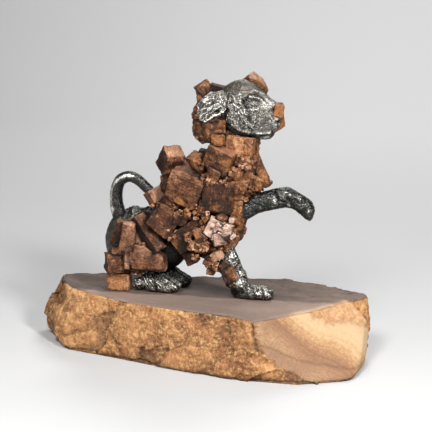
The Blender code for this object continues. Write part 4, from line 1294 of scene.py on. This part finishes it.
planted = dict(
    along=150, around=100, sizes=(3.0, 1.6), crest=0.8, seed=70, heading=-55, stretch=0.6, patinaAndShade=0.3,
    contrast=1.9,
    stops=((20.5, 51, 3, 45, -11, 8), (23.5, 43, 8, 38, -13, 7.5), (27.2, 35.4, 11.5, 29.5, -14, 7.2),
           (30, 28.5, 14.6, 21, -15, 7), (33.6, 23.6, 17, 14, -15, 7), (34.6, 18, 18.8, 9, -15, 7.2),
           (37, 12.8, 22.6, 1.2, -15, 7.6), (42.6, 11, 35, 0, -15, 8.6), (51, 11, 48.6, 0, -15, 9.2),
           (57.2, 8.2, 56, 0.4, -15, 8.4)),
    lines=((((29, 29.6), (31, 27), (33, 27.6)), 0.6, -1.0, -0.8),
           (((39.5, 11.6), (41.5, 8.7), (43.5, 2.7)), 0.8, -0.9, -0.5),
           (((48.2, 11.6), (50.7, 8.2), (52.7, 3.3)), 0.8, -0.9, -0.5),
           (((33.6, 14.5), (35.4, 9), (36.5, 3)), 0.8, -0.6, -0.5),
           (((27.5, 34), (25, 30), (23, 27)), 0.8, -0.8, -0.5)),
    bumps=(((19.5, 41), 1.6, 1.0, 1.6), ((30, 25), 2.2, 1.2, 1.6), ((29.6, 14.8), 3.2, 1.4, 1.6),
           ((31.4, 7.4), 2.6, -1.0, -0.9), ((46.6, 7.4), 2.2, 0.6, 0.5), ((53.4, 7.2), 1.9, 0.6, 0.6),
           ((57, 5), 1.2, 0.4, 0.4), ((24, 7), 4.2, -0.6, -1.5), ((21.5, 39), 4, 0.5, 0.35)))


def rest(points):
    # what would sink into the slab is laid flat on it
    points[:, 2] = np.maximum(points[:, 2], dog["ground"])
    return points


def pawShell(paw):
    # a low rounded paw; grooves between the toes run forward and down over its front
    points, quads, normals = ballBody(paw["centre"], paw["balls"], 60, 1.5, 3)
    front, seed = paw["front"], paw["seed"]
    fore = ease(front - 14, front, points[:, 0])
    groove = sum(bell(points[:, 1] - toe, 0.9) for toe in paw["toes"])
    cleft = -1.9 * groove * fore
    claw = 0.9 * ease(front + 2, front + 6, points[:, 0]) * (1 - groove) * ease(0.0, 0.6, normals[:, 2] + 0.4)
    run = (points @ spin(paw["streak"], 0, 20)) * (0.3, 1, 1.1)
    fur = 1.35 * strands(run, paw["furSize"], seed) + 0.4 * strands(points, 1.5, seed + 3)
    fur = paw["crest"] * fur * (1 - 0.3 * fore)
    points = rest(points + normals * (cleft + claw + fur)[:, None])
    # painted shade: the lowest 4 mm darker, where the paw meets the slab
    height = fur + 0.6 * cleft + 0.4 * claw - 0.5 * ease(4, 0.5, points[:, 2])
    return dict(points=points, quads=quads, marks=metalMarks(height, 2.0, paw["patinaAndShade"], 0.0))


def limbShell(limb, carry):
    # a tube or profile with strands along it, toe grooves at its end, and creases and bumps drawn in side
    # view
    points, quads, caps, t, phase = carry(limb["stops"], limb["along"], limb["around"])
    normals = surfaceNormals(points, quads)
    normals[-2:] = 0
    run = (points @ spin(limb["heading"], 0, 0)) * (limb["stretch"], 1, 1)
    coarse, fine = limb["sizes"]
    fur = limb["crest"] * (strands(run, coarse, limb["seed"]) + 0.6 * strands(points, fine, limb["seed"] + 3))
    drawn, bright = sideLines(points[:, [0, 2]], limb["lines"], limb["bumps"])
    side = ease(-0.1, 0.35, -normals[:, 1])
    lift = fur + drawn * side
    for toe in limb.get("toes", ()):
        turned = np.angle(np.exp(1j * (phase - toe)))
        lift -= 1.5 * bell(turned, 0.17) * ease(0.76, 0.9, t) * (1 - ease(0.97, 1.0, t))
    lift[-2:] = 0
    points = points + normals * lift[:, None]
    # painted highlights: the drawn brightness lightens the colour and takes away patina
    shown = bright * side
    patinaAndShade = limb["patinaAndShade"] * (1 - np.clip(shown, 0, 0.9))
    marks = metalMarks(fur + shown * (0.8 + fur), limb["contrast"], patinaAndShade, 0.0)
    return dict(points=points, quads=quads, caps=caps, marks=marks)


def buildForelegs():
    leg = limbShell(raised, profileTube)
    addPiece("raised_foreleg_chased", [leg], darkMetal, "raised_foreleg")
    leg = limbShell(planted, profileTube)
    leg["points"] = rest(leg["points"])
    # painted shade: the bottom of the paw darkened where it meets the slab
    leg["marks"]["patinaAndShade"] = np.maximum(leg["marks"]["patinaAndShade"], 0.9 * ease(2.6, 0.6, leg["points"][:, 2]))
    addPiece("planted_foreleg_chased", [leg], silver, "planted_foreleg")
    print("forelegs cast")


hind = dict(
    centre=(-68, 1, 44), count=84,
    balls=(((-76, 0, 46), (29, 19, 33), 0), ((-47, 3, 40), (22, 15, 20), -20), ((-86, 0, 66), (8, 8, 8), 0),
           ((-74, -2, 73), (8, 7, 7), 0), ((-60, -3, 75), (8, 6.5, 6.5), 0),
           ((-52, 6, 24), (14, 10, 16), -30)),
    tail=dict(along=170, around=64, sizes=(3.0, 1.6), crest=0.22, seed=90, heading=80, stretch=0.3,
              patinaAndShade=0.9, contrast=1.7,
              stops=((-86, 0, 62, 8.0), (-91, 0, 72, 6.9), (-93.5, 0, 85, 6.2), (-92.5, 0, 97, 5.8),
                     (-88.5, 0, 105, 5.5), (-80.5, 0, 108.5, 5.2), (-72, 0, 105.5, 5.0), (-62.5, 0, 97, 4.8),
                     (-55, -1, 91, 4.6)),
              # painted reflection: a bright line and spots down the tail's outer edge
              lines=((((-96, 74), (-97.5, 86), (-96.5, 97), (-92, 105), (-84, 110), (-76, 110)),
                      1.5, 0.2, 0.75),),
              bumps=(((-92, 105), 1.8, 0.2, 0.7), ((-97.5, 97), 1.4, 0.2, 0.7), ((-95, 78), 2.0, 0.2, 0.4))),
    rightPaw=dict(
        centre=(-54, -9, 8), toes=(-13.5, -9, -4.5), front=-40, seed=94, patinaAndShade=0.1, crest=1.0, furSize=2.8,
        streak=-57,
        balls=(((-50, -9, 9), (18, 10, 9.5), -10), ((-57, -9, 10), (11, 9, 9), 0),
               ((-70, -8, 6), (6.5, 6, 6.5), 0), ((-40, -9, 5), (10, 10, 5.5), 0))),
    leftPaw=dict(
        centre=(-40, 8, 9), toes=(3.5, 8, 12.5), front=-30, seed=97, patinaAndShade=0.95, crest=0.6, furSize=2.6,
        streak=35,
        balls=(((-36, 8, 8), (14, 10, 8), -15), ((-46, 8, 12), (13, 9, 10), 0))))


def buildHindquarters():
    points, quads, normals = ballBody(hind["centre"], hind["balls"], hind["count"], 2.0, 5)
    front, top = ease(-64, -54, points[:, 0]), ease(66, 72, points[:, 2])
    fur = 0.45 * strands(points * (1, 1, 0.5), 4.0, 80) + 0.35 * strands(points, 1.8, 83)
    fur = fur + top * 1.2 * strands(points, 5, 86) + 0.5 * softNoise(points, 9, 88)
    marks = metalMarks(fur * (1 - 0.5 * top) - 0.3 * front + 0.15 * top - 0.35, 1.6,
                       np.maximum(front, 0.18 + 0.57 * top), (0.9 - 0.9 * front) * (1 - 0.6 * top))
    rump = dict(points=rest(points + normals * fur[:, None]), quads=quads, marks=marks)
    tail = limbShell(hind["tail"], tube)
    right, left = pawShell(hind["rightPaw"]), pawShell(hind["leftPaw"])
    right["marks"]["patinaAndShade"] = np.maximum(right["marks"]["patinaAndShade"], 0.9 * ease(12, 16, right["points"][:, 2]))
    shells = [rump, tail, right, left]
    addPiece("hindquarters_casting_chased", shells, darkMetal, "hindquarters_casting")
    print("hindquarters cast")


buildHead()
buildForelegs()
buildHindquarters()


slab = dict(
    # seen from above, mm, anticlockwise from the left end: foot x, foot y, top x, top y, bulge
    outline=((-154, 0, -150, 8, 13), (-150, -20, -143, -10, 11), (-116, -52, -117, -32, 6),
             (-60, -58, -49, -55, 3), (-5, -66, 7, -58, 2), (53, -70, 48, -58, 2), (73, -69, 77, -67, 2),
             (118, -63, 116, -21, 1), (160, -38, 154, 38, 3), (162, 0, 154, 44, 3), (146, 46, 127, 56, 4),
             (79, 66, 67, 67, 3), (17, 54, 15, 54, 3), (-53, 42, -51, 36, 3), (-113, 32, -111, 28, 8)),
    shift=(2.0, 0.9), height=56.0, around=640, up=64, across=40, lip=1.6, rough=1.5, facet=9.95,
    # drawn on the front in x and z: the fracture's left border, the cream layer's lower edge, a thin dark
    # seam and the patch's lower edge
    border=((76, 56), (79, 49), (81, 43), (83, 35), (84.5, 28), (86, 23), (93, 20.5), (96, 15), (104, 12),
            (116, 9), (124, 5), (133, 0)),
    cream=((92, 64), (105, 50), (115, 40.5), (127, 32), (140, 26), (153, 20), (165, 9)),
    seam=((84, 33), (91, 31), (102, 25), (114, 20), (132, 15), (149, 11), (163, 8)),
    groove=((112, 60), (119, 51), (124, 46), (130, 44), (142, 42), (155, 39), (163, 32)))


def slabRings():
    # ring by ring: the outline at each height is the foot's eased to the top's, bulging by a sine; the top
    # and the underside are the last ring drawn in to the middle. Then for each point: its place round the
    # outline, its ring counted from the foot, and how near the rim it is on top, 0..1
    around, up, across = slab["around"], slab["up"], slab["across"]
    stops = np.array(slab["outline"], float)
    s = np.linspace(0, len(stops), around, endpoint=False)
    k, part = s.astype(int), (s % 1)[:, None]
    line = stops[k] * (1 - part) + stops[(k + 1) % len(stops)] * part
    # the corners of the right end are evened out
    evened = sum(np.roll(line, shift, 0) for shift in range(-10, 11)) / 21
    line = line + (evened - line) * (ease(7.6, 8.0, s) * ease(10.8, 10.4, s))[:, None]
    rise = np.linspace(0, 1, up) ** 0.9
    r = rise[:, None, None]
    place = line[None, :, 0:2] * (1 - r) + line[None, :, 2:4] * r
    bulge = np.sin(math.pi * rise ** 0.7)[:, None] * line[None, :, 4]
    place = place + oneLong(place) * bulge[..., None] + slab["shift"]
    height = np.broadcast_to((rise * slab["height"])[:, None], (up, around))
    sides = np.concatenate([place, height[..., None]], 2)
    inner = np.linspace(1, 0, across + 1)[1:-1]
    middle = np.array([*slab["shift"], 0])
    drawnIn = np.stack([inner, inner, np.ones(across - 1)], 1)[:, None]
    below, cover = (middle + (ring - middle) * drawnIn for ring in (sides[0], sides[-1]))
    rows = np.concatenate([below[::-1], sides, cover])
    points = np.concatenate([rows.reshape(-1, 3), [middle, middle + (0, 0, slab["height"])]])
    order = np.concatenate([np.repeat(np.arange(len(rows)) - (across - 1), around), [-1, up]])
    rim = np.concatenate([np.zeros((across - 1 + up) * around), np.repeat(inner, around), [0, 0]])
    return points, *ringFaces(len(rows), around), np.concatenate([np.tile(s, len(rows)), [0, 0]]), order, rim


def buildSlab():
    points, quads, caps, station, order, rim = slabRings()
    last = slab["up"] - 1
    which, isTop, isBase = np.clip(order, 0, last), (order > last) * 1.0, (order < 0) * 1.0
    isSide = (1 - isTop) * (1 - isBase)
    share = which / last
    x, y, z = points.T.copy()
    # the smooth fracture, with a jagged left border, a crust below the seam and a patch above the groove
    jag = 2.2 * softNoise(points, 7, 11) + 2.5 * np.floor(2 * softNoise(points, 12, 12) + 0.5)
    overCream, overSeam, overGroove = (z - readTable(x + 0.25 * jag, slab[key])
                                       for key in ("cream", "seam", "groove"))
    edgeX = readTable(-z, [(-up, right) for right, up in slab["border"]]) + 0.7 * jag
    ended = ease(slab["facet"], slab["facet"] + 0.25, station + 0.05 * jag)
    facet = ease(0, 1.2, x - edgeX) * (y < 20) * (1 - ended) * isSide
    patch = 0.85 * facet * ease(-1, 3.5, overGroove + 0.4 * jag + 2.4 * softNoise(points, 5, 34))
    patch = patch * ease(110, 116, x + 2 * jag)
    crust = 0.45 * facet * ease(1.5, -1.5, overSeam + 0.5 * jag) * ease(140, 118, x)
    facet = facet * (1 - patch)
    normals = surfaceNormals(points, quads)
    normals[-2:] = ((0, 0, -1), (0, 0, 1))
    # relief: broken facets on the rough sides, long waves on the fracture, a groove and a seam along it
    tilted = points @ spin(35, 0, 0) * (0.45, 1, 1)
    broken, _ = facetNoise(warpNoise(tilted, 12, 4, 16), 17, 17)
    small, _ = facetNoise(warpNoise(points, 5, 1.5, 18), 4.5, 19)
    rough = slab["rough"] * (1.5 * broken + 0.4 * small + 0.75 * layeredNoise(points, 7, 4, 20))
    rough = (rough + 2.2 * softNoise(points, 34, 21)) * (1 - 0.45 * ease(-118, -140, x))
    lift = (rough * (1 - facet) + 0.5 * layeredNoise(points, 26, 3, 22) * facet - 0.8 * facet) * isSide
    lift -= (0.9 * bell(overGroove, 0.9) * ease(126, 132, x) * isSide * (y < 20)
             + 0.5 * bell(overSeam, 0.8) * facet)
    lift += 0.7 * patch + 0.35 * crust * softNoise(points, 3, 23)
    # the left end is hollow above a ledge, the right end's rim slopes, and a lump and a cleft flank the
    # fracture
    carved = 6.5 * ease(35, 38.5, z + 1.5 * softNoise(points, 14, 33)) * ease(62, 44, z) * ease(-126, -140, x)
    carved = carved + 3.0 * ease(22, 18, z + 2 * softNoise(points, 10, 37)) * ease(-134, -144, x)
    carved = carved + 4.0 * bell(56 - z, 9) * ease(142, 156, x)
    front = isSide * (y < 0)
    lump = bell(np.hypot(x - 90, (z - 11) * 1.2), 8, 4) * front * (1 - facet)
    cleft = bell(x - edgeX + 2.2, 1.6) * ease(24, 30, z) * ease(56, 50, z) * front
    lift += 2.2 * lump - 2.2 * cleft
    # lips: top and bottom edges worn back, the foot drawn in
    lip = bell((1 - share) * slab["height"], slab["lip"]) * (1 - isTop)
    lift -= ((1.1 + 0.9 * softNoise(points, 6, 24)) * lip * isSide
             + 2.2 * bell(share * slab["height"], 2.2) * isSide)
    # the top: low ledges near the rim and far right, and thin winding cracks
    far = ease(10, 70, x) * ease(0, 22, y) * isTop
    ledge = np.floor(2.2 * layeredNoise(points * (1, 1.8, 1), 30, 3, 25) + 0.5)
    stepped = (0.35 * ease(0.45, 0.9, rim) + 0.5 * far) * ledge
    split = 1 - np.abs(softNoise(warpNoise(points * (1, 2.4, 1), 18, 5, 35), 30, 36)) / 0.05
    points = points + normals * ((lift - carved) * isSide)[:, None]
    points[:, 2] += isTop * (0.25 * layeredNoise(points, 18, 3, 26) + stepped - 0.9 * ease(0.955, 1.0, rim))
    points[:, 2] = np.where(isBase > 0, 0.0, np.maximum(points[:, 2], 0.0)) - (which == last) * isSide * 0.8
    # marks: shades by layer and place, drawn on the finished surface
    moved, sideways = points[:, 0], points[:, 1]
    band = 0.5 + (overCream + 1.5 * softNoise(points, 14, 27)) / 60
    shade = bell(overSeam, 0.9) * 0.55 + bell(overCream + 9, 0.5) * 0.35 + bell(overCream + 12.5, 0.6) * 0.3
    strip = 0.17 * moved - 16.5 - sideways + 4 * softNoise(points, 16, 29) + 1.2 * softNoise(points, 3, 31)
    strip = ease(-2, 2.5, strip)
    facet = (facet
             + isTop * 0.8 * ease(0.93, 1.0, rim) * ease(99, 106, x) * ease(156, 146, x) * (sideways < 20))
    top = np.clip(isTop + (which >= last), 0, 1)
    worn = (0.42 + 0.24 * ease(5, -60, moved)) * strip
    worn = worn + 0.25 * ease(60, 140, moved + 30 * layeredNoise(points, 30, 3, 30))
    # painted shade: darker at the foot of the sides, in recesses and in the cleft, with the fracture's dark seam
    # lines and the cracks on top
    grimeAndShade = (0.8 * bell(share * slab["height"], 1.6) * isSide
             + 0.4 * ease(0.4, 2.0, -lift) * (1 - facet) * isSide)
    grimeAndShade = grimeAndShade + 0.6 * shade * facet + 0.7 * cleft
    grimeAndShade = grimeAndShade + 0.75 * np.clip(split, 0, 1) * np.clip(0.2 + far, 0, 1) * isTop * ease(20, 60, x)
    # painted light and shade: the sides lighter or darker by place and the left end darker; topShade is a
    # painted shadow on the top under the dog and towards its back right; raised parts and the lump lighter
    sideLight = 0.5 * ease(-62, -82, x) - 0.3 * ease(-82, -64, x) * ease(0, -16, x) * ease(12, 24, z)
    sideLight = sideLight - 0.25 * ease(-20, 20, x) - 0.25 * ease(30, 45, x) * ease(36, 26, z)
    sideLight = sideLight - 0.95 * ease(-118, -148, x)
    topShade = 0.45 * ease(20, 70, x) * ease(-30, 0, sideways)
    topShade = topShade + 0.7 * (1 - strip) * ease(-35, -10, x) * ease(70, 40, x) * ease(45, 20, sideways)
    light = lift * 0.16 * isSide + 0.35 * lump + 0.3 * softNoise(points, 40, 28)
    light = light + sideLight * isSide - topShade * isTop
    marks = dict(worn=top * np.clip(worn, 0, 1), top=top, facet=facet, patch=patch, crust=crust,
                 tan=bell(x - edgeX - 2, 7) * facet, band=np.clip(band, 0, 1), grimeAndShade=np.clip(grimeAndShade, 0, 1),
                 light=np.clip(light, -1, 1))
    shell = dict(points=points, quads=quads, caps=caps, marks=marks)
    addPiece("stone_base_hewn", [shell], stone, "stone_base", inDog=False)
    print("slab hewn")


buildSlab()
